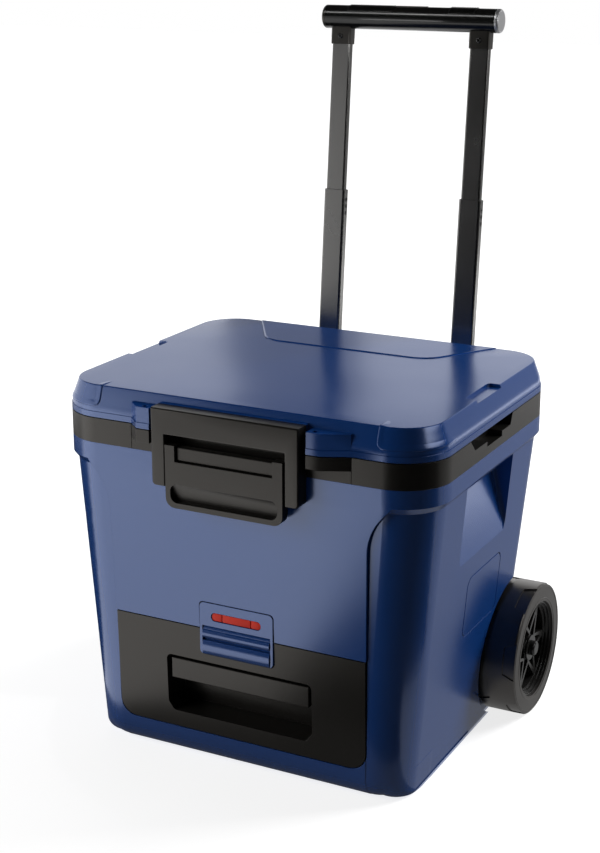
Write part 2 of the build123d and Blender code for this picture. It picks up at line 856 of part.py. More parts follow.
export_step(latch_lever.part, "parts/latch_lever.step")

# Drawer front with the pull's cup and a seat for the catch
drawer_plate_back = panel_y(drawer_bottom) + drawer_thickness
pull_back = panel_y(pull_bottom) + pull_depth
with BuildPart() as drawer_front:
    add(drawer_block(0, front_face, drawer_plate_back))
    add(panel_envelope, mode=Mode.INTERSECT)
    add(pull_block(pull_shell, panel_y(pull_bottom) + pull_shell, pull_back + pull_shell))
    add(pull_block(0, front_face, pull_back), mode=Mode.SUBTRACT)
    add(front_block(seat_half, catch_bottom - catch_gap, catch_top, catch_corner, front_face, catch_back),
        mode=Mode.SUBTRACT)
drawer_front.part.label = "drawer_front"
export_step(drawer_front.part, "parts/drawer_front.step")

# Hooked pull bar inside the cup
hook_front = panel_y(pull_top) + pull_bar_setback
hook_top = pull_top - pull_reveal
with BuildPart() as drawer_pull:
    with BuildSketch(Plane.YZ.offset(-(pull_half - pull_reveal))):
        with BuildLine():
            Polyline(
                (hook_front, hook_top - pull_bar_height),
                (hook_front + pull_bar_thickness, hook_top - pull_bar_height),
                (hook_front + pull_bar_thickness, hook_top - pull_web),
                (pull_back, hook_top - pull_web),
                (pull_back, hook_top),
                (hook_front, hook_top),
                close=True,
            )
        make_face()
    extrude(amount=2 * (pull_half - pull_reveal))
drawer_pull.part.label = "drawer_pull"
export_step(drawer_pull.part, "parts/drawer_pull.step")

# Drawer tray, closed in front by the drawer front
tray_half = drawer_bay_half - tray_side_gap
tray_low = drawer_bay_low + runner_height + slide_gap
tray_high = drawer_top - tray_rim_drop
with BuildPart() as drawer_tray:
    for grow, wall_mode in ((0, Mode.ADD), (tray_wall, Mode.SUBTRACT)):
        with BuildSketch(Plane.XZ.offset(-drawer_plate_back)) as tray_outline:
            with Locations((0, tray_low + grow)):
                Rectangle(2 * (tray_half - grow), tray_high - tray_low, align=(Align.CENTER, Align.MIN))
            fillet(tray_outline.vertices().group_by(Axis.Y)[0], drawer_corner - tray_side_gap - grow)
        extrude(amount=drawer_plate_back - drawer_back + grow, mode=wall_mode)
drawer_tray.part.label = "drawer_tray"
export_step(drawer_tray.part, "parts/drawer_tray.step")

# Runner strips on the bay floor
runner_x = drawer_bay_half - drawer_corner - runner_inset
for side, sign in (("left", -1), ("right", 1)):
    with BuildPart() as runner:
        with Locations((sign * runner_x, drawer_plate_back, drawer_bay_low)):
            Box(runner_width, bay_back - drawer_plate_back, runner_height,
                align=(Align.CENTER, Align.MIN, Align.MIN))
    runner.part.label = f"drawer_runner_{side}"
    export_step(runner.part, f"parts/drawer_runner_{side}.step")

# Catch plate: a bezel over a seat for the catch lever
catch_pivot_y = catch_front + catch_pivot
catch_pivot_z = catch_split - catch_pivot
lever_room = catch_half - catch_cheek
with BuildPart() as catch_plate:
    add(front_block(catch_half, catch_bottom, catch_top, catch_corner, catch_front, catch_back))
    with Locations((0, catch_front, catch_bottom)):
        Box(2 * lever_room, catch_thickness - catch_back_plate, catch_split - catch_bottom,
            align=(Align.CENTER, Align.MIN, Align.MIN), mode=Mode.SUBTRACT)
    add(front_block(slot_half, slot_centre - slot_height / 2, slot_centre + slot_height / 2,
                    slot_height / 2 - fit_gap, catch_front, catch_front + slot_depth), mode=Mode.SUBTRACT)
    add(cross_rod(-catch_half, catch_half, catch_pivot_y, catch_pivot_z, catch_pin_radius + running_gap),
        mode=Mode.SUBTRACT)
catch_plate.part.label = "catch_plate"
export_step(catch_plate.part, "parts/catch_plate.step")

# Red tell-tale bar in the bezel's slot
with BuildPart() as red_indicator:
    add(front_block(slot_half - fit_gap, slot_centre - slot_height / 2 + fit_gap,
                    slot_centre + slot_height / 2 - fit_gap, slot_height / 2 - 2 * fit_gap,
                    catch_front + red_setback, catch_front + slot_depth))
red_indicator.part.label = "red_indicator"
export_step(red_indicator.part, "parts/red_indicator.step")

# Catch pin
with BuildPart() as catch_pin:
    add(cross_rod(-catch_half, catch_half, catch_pivot_y, catch_pivot_z, catch_pin_radius))
catch_pin.part.label = "catch_pin"
export_step(catch_pin.part, "parts/catch_pin.step")

# Catch lever: two round ridges with a finger groove between them
groove_high = catch_groove_z + catch_groove_width / 2
groove_low = catch_groove_z - catch_groove_width / 2
catch_lever_half = lever_room - catch_side_gap
catch_lever_low = catch_bottom + catch_side_gap
catch_lever_back = catch_front + catch_thickness - catch_back_plate - catch_side_gap
with BuildPart() as catch_lever:
    with BuildSketch(Plane.YZ.offset(-catch_lever_half)):
        with BuildLine():
            ThreePointArc(
                (catch_front, catch_pivot_z),
                (catch_front - catch_ridge, (catch_pivot_z + groove_high) / 2),
                (catch_front, groove_high),
            )
            Polyline(
                (catch_front, groove_high),
                (catch_front + catch_groove, groove_high),
                (catch_front + catch_groove, groove_low),
                (catch_front, groove_low),
            )
            ThreePointArc(
                (catch_front, groove_low),
                (catch_front - catch_ridge, (groove_low + catch_lever_low) / 2),
                (catch_front, catch_lever_low),
            )
            Polyline(
                (catch_front, catch_lever_low),
                (catch_lever_back, catch_lever_low),
                (catch_lever_back, catch_pivot_z),
                (catch_front, catch_pivot_z),
            )
        make_face()
    extrude(amount=2 * catch_lever_half)
    add(cross_rod(-catch_lever_half, catch_lever_half, catch_pivot_y, catch_pivot_z,
                  catch_pivot - catch_side_gap))
    add(cross_rod(-catch_half, catch_half, catch_pivot_y, catch_pivot_z, catch_pin_radius + running_gap),
        mode=Mode.SUBTRACT)
catch_lever.part.label = "catch_lever"
export_step(catch_lever.part, "parts/catch_lever.step")

# Axle
hub_face = wheel_outer_x - hub_setback
axle_end = hub_face + nut_gap + nut_length - nut_cap
with BuildPart() as wheel_axle:
    add(cross_rod(-axle_end, axle_end, wheel_y, wheel_radius, axle_radius))
wheel_axle.part.label = "wheel_axle"
export_step(wheel_axle.part, "parts/wheel_axle.step")

# Notch in a tyre's edge, wide at the edge, with slanted ends
notch_tip = tread_length / 2 - tread_slant
with BuildPart() as tread_notch:
    with BuildSketch(Plane.YZ):
        Polygon((tread_length / 2, 0), (notch_tip, tread_reach), (-notch_tip, tread_reach),
                (-tread_length / 2, 0), (-notch_tip, -tread_reach), (notch_tip, -tread_reach), align=None)
    extrude(amount=tread_rise, both=True)

# Wheels, spacers and axle nuts
wheel_inner_x = wheel_outer_x - tyre_width
for side, sign in (("left", -1), ("right", 1)):
    section_plane = Plane(origin=(0, wheel_y, wheel_radius), x_dir=(sign, 0, 0), z_dir=(0, -sign, 0))
    spin_axis = Axis((0, wheel_y, wheel_radius), (1, 0, 0))

    with BuildPart() as tread_cut:
        for edge_x, turn in ((wheel_outer_x, tread_turn), (wheel_inner_x, tread_turn + 180 / tread_count)):
            with Locations(Location((sign * edge_x, wheel_y, wheel_radius), (0, 90, 0))):
                with PolarLocations(wheel_radius, tread_count, start_angle=turn):
                    add(tread_notch.part)
        with BuildSketch(section_plane):
            with Locations((wheel_inner_x - tread_reach, wheel_radius - tread_depth)):
                Rectangle(tyre_width + 2 * tread_reach, tread_rise, align=(Align.MIN, Align.MIN))
        revolve(axis=spin_axis, mode=Mode.INTERSECT)

    with BuildPart() as tyre:
        with BuildSketch(section_plane) as tyre_section:
            with Locations((wheel_inner_x, tyre_inner)):
                Rectangle(tyre_width, wheel_radius - tyre_inner, align=(Align.MIN, Align.MIN))
            fillet(tyre_section.vertices().group_by(Axis.Y)[-1], tyre_shoulder)
        revolve(axis=spin_axis)
        add(tread_cut.part, mode=Mode.SUBTRACT)
    tyre.part.label = f"tyre_{side}"
    export_step(tyre.part, f"parts/tyre_{side}.step")

    with BuildPart() as wheel_hub:
        rim_outer = tyre_inner - rim_fit
        rim_inner = rim_outer - rim_step_count * rim_step
        with BuildSketch(section_plane):
            for step in range(rim_step_count):
                step_back = rim_setback + step * rim_step_back
                with Locations((wheel_inner_x + step_back, rim_outer - (step + 1) * rim_step)):
                    Rectangle(tyre_width - 2 * step_back, rim_step, align=(Align.MIN, Align.MIN))
            with Locations((wheel_inner_x, axle_radius + running_gap)):
                Rectangle(tyre_width - hub_setback, hub_radius - axle_radius - running_gap,
                          align=(Align.MIN, Align.MIN))
            with Locations((wheel_outer_x - web_setback, hub_radius - rim_setback)):
                Rectangle(web_thickness, rim_outer - hub_radius, align=(Align.MAX, Align.MIN))
        revolve(axis=spin_axis)
        face_plane = Plane(origin=(sign * (wheel_outer_x - spoke_setback), wheel_y, wheel_radius),
                           x_dir=(0, sign, 0), z_dir=(sign, 0, 0))
        with BuildSketch(face_plane) as star:
            with PolarLocations(0, spoke_count):
                Polygon((hub_radius - rim_setback, -spoke_spread), (rim_inner + rim_setback, -spoke_tip),
                        (rim_inner + rim_setback, spoke_tip), (hub_radius - rim_setback, spoke_spread),
                        align=None)
            with PolarLocations(0, spoke_count):
                Polygon((hub_radius, spoke_wall - spoke_spread), (rim_inner - spoke_end, -spoke_slot),
                        (rim_inner - spoke_end, spoke_slot), (hub_radius, spoke_spread - spoke_wall),
                        align=None, mode=Mode.SUBTRACT)
        extrude(amount=-(web_setback - spoke_setback))
    wheel_hub.part.label = f"wheel_hub_{side}"
    export_step(wheel_hub.part, f"parts/wheel_hub_{side}.step")

    with BuildPart() as axle_spacer:
        add(cross_rod(sign * arch_inner, sign * (wheel_inner_x - slide_gap), wheel_y, wheel_radius,
                      axle_boss))
        add(cross_rod(0, sign * body_width, wheel_y, wheel_radius, axle_radius + running_gap),
            mode=Mode.SUBTRACT)
    axle_spacer.part.label = f"axle_spacer_{side}"
    export_step(axle_spacer.part, f"parts/axle_spacer_{side}.step")

    with BuildPart() as axle_nut:
        add(cross_rod(sign * (hub_face + nut_gap), sign * (hub_face + nut_gap + nut_length),
                      wheel_y, wheel_radius, nut_radius))
        fillet(axle_nut.edges().sort_by(Axis.X)[-1 if sign > 0 else 0], nut_round)
        add(cross_rod(0, sign * axle_end, wheel_y, wheel_radius, axle_radius + running_gap),
            mode=Mode.SUBTRACT)
    axle_nut.part.label = f"axle_nut_{side}"
    export_step(axle_nut.part, f"parts/axle_nut_{side}.step")

# Rear carriers that hold the handle's sleeves to the back wall
for level, low in (("top", carrier_top_low), ("bottom", carrier_bottom_low)):
    with BuildPart() as carrier:
        with BuildSketch(handle_plane.offset(low)):
            with Locations((0, wall_line)):
                Rectangle(2 * carrier_half, carrier_plate, align=(Align.CENTER, Align.MIN))
            for x in (-post_x, post_x):
                with Locations((x, wall_line)):
                    Rectangle(sleeve_width + 2 * carrier_wall,
                              sleeve_depth / 2 + carrier_wall - wall_line, align=(Align.CENTER, Align.MIN))
                with Locations((x, wall_line + carrier_plate)):
                    Rectangle(sleeve_width, -wall_line - carrier_plate - carrier_wall - sleeve_depth / 2,
                              align=(Align.CENTER, Align.MIN), mode=Mode.SUBTRACT)
                with Locations((x, 0)):
                    RectangleRounded(sleeve_width + 2 * running_gap, sleeve_depth + 2 * running_gap,
                                     sleeve_corner + running_gap, mode=Mode.SUBTRACT)
        extrude(amount=carrier_height)
    carrier.part.label = f"handle_carrier_{level}"
    export_step(carrier.part, f"parts/handle_carrier_{level}.step")

# Sleeves, sliding posts and the grip's brackets
for side, sign in (("left", -1), ("right", 1)):
    x = sign * post_x

    with BuildPart() as sleeve:
        add(post_bar(x, sleeve_bottom, sleeve_top, sleeve_width, sleeve_depth, sleeve_corner))
        add(post_bar(x, sleeve_bottom + sleeve_wall, sleeve_top, lower_width + 2 * slide_gap,
                     lower_depth + 2 * slide_gap, tube_corner + slide_gap), mode=Mode.SUBTRACT)
    sleeve.part.label = f"handle_sleeve_{side}"
    export_step(sleeve.part, f"parts/handle_sleeve_{side}.step")

    with BuildPart() as lower_post:
        add(post_bar(x, lower_bottom, lower_top, lower_width, lower_depth, tube_corner))
        add(post_bar(x, lower_bottom, lower_top, upper_width + 2 * slide_gap, upper_depth + 2 * slide_gap,
                     tube_corner - slide_gap), mode=Mode.SUBTRACT)
        for step in range(lock_hole_count):
            hole_level = lower_top - lock_hole_drop - lock_hole_pitch * step
            rod_y = post_y + hole_level * sin(lean)
            rod_z = lid_top + hole_level * cos(lean)
            add(cross_rod(x, x + lower_width, rod_y, rod_z, lock_hole_radius), mode=Mode.SUBTRACT)
    lower_post.part.label = f"lower_post_{side}"
    export_step(lower_post.part, f"parts/lower_post_{side}.step")

    with BuildPart() as upper_post:
        add(post_bar(x, upper_bottom, upper_top, upper_width, upper_depth, tube_corner - 2 * slide_gap))
        add(post_bar(x, upper_bottom, upper_top, upper_width - 2 * upper_wall, upper_depth - 2 * upper_wall,
                     upper_wall), mode=Mode.SUBTRACT)
    upper_post.part.label = f"upper_post_{side}"
    export_step(upper_post.part, f"parts/upper_post_{side}.step")

    with BuildPart() as bracket:
        add(post_bar(x, upper_top - bracket_socket, grip_level, bracket_width, bracket_depth, tube_corner))
        add(post_bar(x, upper_top - bracket_socket, upper_top, upper_width + 2 * running_gap,
                     upper_depth + 2 * running_gap, tube_corner - 2 * slide_gap), mode=Mode.SUBTRACT)
        add(cross_rod(-body_width, body_width, grip_y, grip_z, grip_radius + running_gap),
            mode=Mode.SUBTRACT)
    bracket.part.label = f"grip_bracket_{side}"
    export_step(bracket.part, f"parts/grip_bracket_{side}.step")

    with BuildPart() as grip_cap:
        add(cross_rod(sign * grip_half, sign * (grip_half + cap_length), grip_y, grip_z, grip_radius))
        fillet(grip_cap.edges().sort_by(Axis.X)[-1 if sign > 0 else 0], cap_round)
        add(cross_rod(sign * (grip_half - cap_plug), sign * grip_half, grip_y, grip_z,
                      grip_radius - grip_wall - running_gap))
    grip_cap.part.label = f"grip_cap_{side}"
    export_step(grip_cap.part, f"parts/grip_cap_{side}.step")

# Grip tube with a slot for the release button
with BuildPart() as grip_tube:
    add(cross_rod(-grip_half, grip_half, grip_y, grip_z, grip_radius))
    add(cross_rod(-grip_half, grip_half, grip_y, grip_z, grip_radius - grip_wall), mode=Mode.SUBTRACT)
    with BuildSketch(handle_plane.offset(grip_level)):
        RectangleRounded(2 * (button_half + button_gap), button_width + 2 * button_gap, button_corner)
    extrude(amount=2 * grip_radius, mode=Mode.SUBTRACT)
grip_tube.part.label = "grip_tube"
export_step(grip_tube.part, "parts/grip_tube.step")

# Release button
with BuildPart() as release_button:
    button_top = grip_level + grip_radius + button_stand
    with BuildSketch(handle_plane.offset(button_top - button_height)):
        RectangleRounded(2 * button_half, button_width, button_corner)
    extrude(amount=button_height)
    add(cross_rod(-button_half, button_half, grip_y, grip_z, grip_radius + button_stand), mode=Mode.INTERSECT)
release_button.part.label = "release_button"
export_step(release_button.part, "parts/release_button.step")
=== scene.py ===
import json
from math import atan2, cos, hypot, pi, radians, sin, tan

import bmesh
import bpy
from mathutils import Matrix, Vector
from mathutils.bvhtree import BVHTree


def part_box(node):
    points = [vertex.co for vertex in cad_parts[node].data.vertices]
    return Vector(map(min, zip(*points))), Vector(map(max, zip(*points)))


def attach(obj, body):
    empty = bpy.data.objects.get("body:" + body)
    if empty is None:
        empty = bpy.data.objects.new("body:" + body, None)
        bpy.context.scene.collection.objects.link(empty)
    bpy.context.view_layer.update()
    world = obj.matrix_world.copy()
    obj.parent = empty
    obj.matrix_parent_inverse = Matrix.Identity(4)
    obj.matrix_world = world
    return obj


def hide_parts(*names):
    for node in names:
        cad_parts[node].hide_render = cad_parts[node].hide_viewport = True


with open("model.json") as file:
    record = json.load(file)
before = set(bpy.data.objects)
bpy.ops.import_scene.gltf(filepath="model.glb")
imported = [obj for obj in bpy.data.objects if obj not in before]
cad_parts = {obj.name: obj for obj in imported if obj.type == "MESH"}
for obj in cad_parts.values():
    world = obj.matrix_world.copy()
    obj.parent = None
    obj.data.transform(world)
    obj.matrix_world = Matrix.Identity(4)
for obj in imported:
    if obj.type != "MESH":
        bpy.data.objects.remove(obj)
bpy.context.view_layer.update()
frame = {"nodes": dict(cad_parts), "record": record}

nodes = frame["nodes"]
slotOf = {part["node"]: part["material_slot"] for part in frame["record"]["subparts"]}
scene = bpy.context.scene
mm = 0.001
print("frame loaded:", len(nodes), "nodes")


# small helpers for node trees
def addNode(tree, kind, **settings):
    node = tree.nodes.new(kind)
    for key, value in settings.items():
        setattr(node, key, value)
    return node


def wire(tree, source, target):
    tree.links.new(source, target)


# finishes: one dictionary for each slot of the record, and a glossier one for the grip; depths in millimetres
finishes = {
    "body_blue": dict(color=(0.0036, 0.0300, 0.135), rough=0.22, roughSpread=0.03, specular=1.0, ior=1.76,
                      tint=(0.60, 0.70, 1.0), grain=420, grainDepth=0.0013, mottle=0.06, edge=0.5),
    "black_plastic": dict(color=(0.0075, 0.0070, 0.0063), rough=0.30, roughSpread=0.05, specular=0.6,
                          tint=(1.0, 0.95, 0.89), grain=900, grainDepth=0.006, mottle=0.10, edge=0.6),
    "runner_plastic": dict(color=(0.055, 0.055, 0.055), rough=0.40, roughSpread=0.06,
                           grain=900, grainDepth=0.010, mottle=0.08, edge=0.4),
    "liner_grey": dict(color=(0.60, 0.62, 0.64), rough=0.42, roughSpread=0.06,
                       grain=1100, grainDepth=0.012, mottle=0.04, edge=0.8),
    "foam": dict(color=(0.82, 0.76, 0.58), rough=0.85, roughSpread=0.05,
                 grain=500, grainDepth=0.25, mottle=0.10, edge=0.5),
    "signal_red": dict(color=(0.52, 0.022, 0.008), rough=0.30, roughSpread=0.05, specular=0.3,
                       grain=1300, grainDepth=0.010, mottle=0.05, edge=0.5),
    "seal_rubber": dict(color=(0.022, 0.022, 0.022), rough=0.62, roughSpread=0.08,
                        grain=1400, grainDepth=0.03, mottle=0.10, edge=0.5),
    "post_metal": dict(color=(0.20, 0.197, 0.193), rough=0.26, roughSpread=0.04, metallic=1.0, drawn=40,
                       grain=2200, grainDepth=0.003, mottle=0.06, edge=0.4),
    "steel": dict(color=(0.56, 0.56, 0.57), rough=0.30, roughSpread=0.10, metallic=1.0, drawn=30,
                  grain=900, grainDepth=0.008, mottle=0.05, edge=0.4),
    "nut_black": dict(color=(0.012, 0.012, 0.012), rough=0.16, roughSpread=0.04,
                      grain=900, grainDepth=0.004, mottle=0.04, edge=0.6),
    "cap_silver": dict(color=(0.50, 0.50, 0.51), rough=0.38, roughSpread=0.06, metallic=0.85,
                       grain=2400, grainDepth=0.012, mottle=0.04, edge=0.5),
    "tyre_rubber": dict(color=(0.0100, 0.0094, 0.0088), rough=0.30, roughSpread=0.05, specular=1.0, ior=1.62,
                        tint=(1.0, 0.95, 0.91), grain=800, grainDepth=0.010, mottle=0.14, edge=0.4),
    "hub_black": dict(color=(0.009, 0.0088, 0.0085), rough=0.22, roughSpread=0.05, specular=1.0,
                      grain=1500, grainDepth=0.008, mottle=0.08, edge=0.7),
    "grip_gloss": dict(color=(0.0035, 0.0034, 0.0033), rough=0.20, roughSpread=0.03, specular=0.45,
                       grain=900, grainDepth=0.003, mottle=0.08, edge=0.5),
}
noiseLook = dict(patchScale=14, patchDetail=6, grainDetail=2, edgeSamples=4)
ownFinish = {"grip_tube": "grip_gloss"}  # nodes glossier than their slot


# one moulded or drawn surface: mottled colour, uneven gloss, fine grain and softened edges
def makeFinish(name, look):
    material = bpy.data.materials.new(name)
    material.use_nodes = True
    tree = material.node_tree
    shader = tree.nodes["Principled BSDF"]
    shader.inputs["Metallic"].default_value = look.get("metallic", 0.0)
    shader.inputs["Specular IOR Level"].default_value = look.get("specular", 0.5)
    shader.inputs["IOR"].default_value = look.get("ior", 1.5)
    shader.inputs["Specular Tint"].default_value = (*look.get("tint", (1, 1, 1)), 1)
    coords = addNode(tree, "ShaderNodeTexCoord")
    place = addNode(tree, "ShaderNodeMapping")
    place.inputs["Scale"].default_value = (1, 1, 1 / look.get("drawn", 1))  # drawn metal has long streaks
    wire(tree, coords.outputs["Object"], place.inputs["Vector"])

    patches = addNode(tree, "ShaderNodeTexNoise")
    patches.inputs["Scale"].default_value = noiseLook["patchScale"]
    patches.inputs["Detail"].default_value = noiseLook["patchDetail"]
    wire(tree, coords.outputs["Object"], patches.inputs["Vector"])
    tint = addNode(tree, "ShaderNodeMix", data_type="RGBA")
    tint.inputs["A"].default_value = (*[c * (1 - look["mottle"]) for c in look["color"]], 1)
    tint.inputs["B"].default_value = (*[c * (1 + look["mottle"]) for c in look["color"]], 1)
    wire(tree, patches.outputs["Fac"], tint.inputs["Factor"])
    wire(tree, tint.outputs["Result"], shader.inputs["Base Color"])

    grain = addNode(tree, "ShaderNodeTexNoise")
    grain.inputs["Scale"].default_value = look["grain"]
    grain.inputs["Detail"].default_value = noiseLook["grainDetail"]
    wire(tree, place.outputs["Vector"], grain.inputs["Vector"])
    gloss = addNode(tree, "ShaderNodeMapRange")
    gloss.inputs["To Min"].default_value = look["rough"] - look["roughSpread"]
    gloss.inputs["To Max"].default_value = look["rough"] + look["roughSpread"]
    wire(tree, patches.outputs["Fac"], gloss.inputs["Value"])
    wire(tree, gloss.outputs["Result"], shader.inputs["Roughness"])

    soft = addNode(tree, "ShaderNodeBevel", samples=noiseLook["edgeSamples"])
    soft.inputs["Radius"].default_value = look["edge"] * mm
    bump = addNode(tree, "ShaderNodeBump")
    bump.inputs["Strength"].default_value = 1.0
    bump.inputs["Distance"].default_value = look["grainDepth"] * mm
    wire(tree, grain.outputs["Fac"], bump.inputs["Height"])
    wire(tree, soft.outputs["Normal"], bump.inputs["Normal"])
    wire(tree, bump.outputs["Normal"], shader.inputs["Normal"])
    return material


finish = {slot: makeFinish(slot, look) for slot, look in finishes.items()}
for name, node in nodes.items():
    node.data.materials.clear()
    node.data.materials.append(finish[ownFinish.get(name, slotOf[name])])
print("finishes made:", len(finish))


# every piece rides on the body of the node it dresses
behaviour = frame["record"]["behaviour"]
bodyOf = {node: body for body, members in behaviour["bodies"].items() for node in members}
jointAxis = {joint["name"]: joint["axis"] for joint in behaviour["joints"]}
postAxis = Vector(jointAxis["handle_upper_slide"])


def addPiece(name, mesh, body, slot, stands=(), look=None):
    piece = bpy.data.objects.new(name, mesh)
    scene.collection.objects.link(piece)
    mesh.materials.clear()
    mesh.materials.append(finish[look or slot])
    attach(piece, body)
    if stands:
        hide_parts(*stands)


def meshFrom(bm, name, smooth=True):
    bmesh.ops.recalc_face_normals(bm, faces=bm.faces)
    for face in bm.faces:
        face.smooth = smooth
    mesh = bpy.data.meshes.new(name)
    bm.to_mesh(mesh)
    bm.free()
    return mesh


# faces between closed rings of equal count
def stitch(bm, rings):
    for one, two in zip(rings, rings[1:]):
        for step in range(len(one)):
            after = (step + 1) % len(one)
            bm.faces.new((one[step], one[after], two[after], two[step]))


# what a modifier makes of a mesh, as a plain mesh
def shaped(mesh, setUp):
    holder = bpy.data.objects.new(mesh.name, mesh)
    scene.collection.objects.link(holder)
    setUp(holder)
    depsgraph = bpy.context.evaluated_depsgraph_get()
    result = bpy.data.meshes.new_from_object(holder.evaluated_get(depsgraph))
    bpy.data.objects.remove(holder)
    return result


# moulded edges: copies of CAD nodes with real rounded edges, widths in millimetres
softEdges = {
    "latch_frame": 0.5, "drawer_pull": 1.1, "drawer_front": 0.7, "catch_plate": 0.7, "catch_lever": 0.9,
    "grip_bracket_left": 0.8, "grip_bracket_right": 0.8,
    "handle_carrier_top": 0.9, "handle_carrier_bottom": 0.9,
    "rim_front": 0.6, "rim_band": 0.6,
    "tyre_left": 0.7, "tyre_right": 0.7, "wheel_hub_left": 0.5, "wheel_hub_right": 0.5,
    "lid_shell": 0.7,
}
softLook = dict(merge=0.004, flat=0.3, segments=3, sharp=38)  # millimetres and degrees


def softenNode(name, width):
    bm = bmesh.new()
    bm.from_mesh(nodes[name].data)
    bmesh.ops.remove_doubles(bm, verts=bm.verts, dist=softLook["merge"] * mm)
    bmesh.ops.dissolve_limit(bm, angle_limit=radians(softLook["flat"]), use_dissolve_boundaries=False,
                             verts=bm.verts, edges=bm.edges)
    mesh = meshFrom(bm, name + "Soft")
    for layer in [layer.name for layer in mesh.attributes if layer.name == "custom_normal"]:
        mesh.attributes.remove(mesh.attributes[layer])

    def setUp(holder):
        bevel = holder.modifiers.new("edges", "BEVEL")
        bevel.width = width * mm
        bevel.segments = softLook["segments"]
        bevel.limit_method = "ANGLE"
        bevel.angle_limit = radians(softLook["sharp"])
        bevel.harden_normals = True
        bevel.use_clamp_overlap = True

    addPiece(name + "Soft", shaped(mesh, setUp), bodyOf[name], slotOf[name], (name,))


for nodeName, edgeWidth in softEdges.items():
    softenNode(nodeName, edgeWidth)
print("edges softened:", len(softEdges))


# geometry nodes that set one part on many places, each turned by its own chance
def makeSpreadTree():
    tree = bpy.data.node_groups.new("spread", "GeometryNodeTree")
    inputs = dict(Places="Geometry", Part="Object", Size="Float", Turn="Float", Seed="Int", Finish="Material")
    for key, kind in inputs.items():
        tree.interface.new_socket(key, in_out="INPUT", socket_type="NodeSocket" + kind)
    tree.interface.new_socket("Geometry", in_out="OUTPUT", socket_type="NodeSocketGeometry")
    given = addNode(tree, "NodeGroupInput")
    result = addNode(tree, "NodeGroupOutput")
    dots = addNode(tree, "GeometryNodeMeshToPoints")
    facing = addNode(tree, "GeometryNodeInputNamedAttribute", data_type="FLOAT_VECTOR")
    facing.inputs["Name"].default_value = "facing"
    aim = addNode(tree, "FunctionNodeAlignRotationToVector", axis="Z")
    chance = addNode(tree, "FunctionNodeRandomValue", data_type="FLOAT")
    spin = addNode(tree, "FunctionNodeAxisAngleToRotation")
    spin.inputs["Axis"].default_value = (0, 0, 1)
    turned = addNode(tree, "FunctionNodeRotateRotation", rotation_space="LOCAL")
    part = addNode(tree, "GeometryNodeObjectInfo", transform_space="ORIGINAL")
    put = addNode(tree, "GeometryNodeInstanceOnPoints")
    real = addNode(tree, "GeometryNodeRealizeInstances")
    paint = addNode(tree, "GeometryNodeSetMaterial")
    wire(tree, given.outputs["Places"], dots.inputs["Mesh"])
    wire(tree, facing.outputs["Attribute"], aim.inputs["Vector"])
    wire(tree, given.outputs["Turn"], chance.inputs[3])
    wire(tree, given.outputs["Seed"], chance.inputs["Seed"])
    wire(tree, chance.outputs[1], spin.inputs["Angle"])
    wire(tree, aim.outputs["Rotation"], turned.inputs["Rotation"])
    wire(tree, spin.outputs["Rotation"], turned.inputs["Rotate By"])
    wire(tree, given.outputs["Part"], part.inputs["Object"])
    wire(tree, dots.outputs["Points"], put.inputs["Points"])
    wire(tree, part.outputs["Geometry"], put.inputs["Instance"])
    wire(tree, turned.outputs["Rotation"], put.inputs["Rotation"])
    wire(tree, given.outputs["Size"], put.inputs["Scale"])
    wire(tree, put.outputs["Instances"], real.inputs["Geometry"])
    wire(tree, real.outputs["Geometry"], paint.inputs["Geometry"])
    wire(tree, given.outputs["Finish"], paint.inputs["Material"])
    wire(tree, paint.outputs["Geometry"], result.inputs["Geometry"])
    return tree


spreadTree = makeSpreadTree()
spreadItems = [item for item in spreadTree.interface.items_tree if item.in_out == "INPUT"]
spreadSocket = {item.name: item.identifier for item in spreadItems}


def spread(name, spots, partMesh, body, slot, size=1.0, turn=0.0, seed=1, look=None):
    part = bpy.data.objects.new(name + "Part", partMesh)
    mesh = bpy.data.meshes.new(name)
    mesh.from_pydata([spot for spot, way in spots], [], [])
    ways = mesh.attributes.new("facing", "FLOAT_VECTOR", "POINT")
    for index, (spot, way) in enumerate(spots):
        ways.data[index].vector = way

    def setUp(holder):
        nodesModifier = holder.modifiers.new("spread", "NODES")
        nodesModifier.node_group = spreadTree
        values = dict(Part=part, Size=size, Turn=turn, Seed=seed, Finish=finish[look or slot])
        for key, value in values.items():
            nodesModifier[spreadSocket[key]] = value

    result = shaped(mesh, setUp)
    bpy.data.objects.remove(part)
    addPiece(name, result, body, slot, look=look)


# a lathe: a profile of (radius, height) turned round Z; a last radius of 0 closes it
def lathe(bm, profile, steps):
    rings = []
    for radius, height in profile:
        if radius == 0:
            rings.append([bm.verts.new((0, 0, height))])
            continue
        turns = [2 * pi * step / steps for step in range(steps)]
        rings.append([bm.verts.new((radius * cos(turn), radius * sin(turn), height)) for turn in turns])
    for low, high in zip(rings, rings[1:]):
        for step in range(steps):
            after = (step + 1) % steps
            if len(high) == 1:
                bm.faces.new((low[step], low[after], high[0]))
            else:
                bm.faces.new((low[step], low[after], high[after], high[step]))


# cross-head screw: a low pan head with a real cross sunk into it
screwLook = dict(
    radius=3.6, height=1.5, foot=-0.6, crossLong=4.6, crossWide=1.1, crossDeep=1.1, steps=32,
    profile=((1.0, 0.35), (0.94, 0.7), (0.78, 0.93), (0.5, 1.0), (0, 1.0)),  # shares of radius and height
)


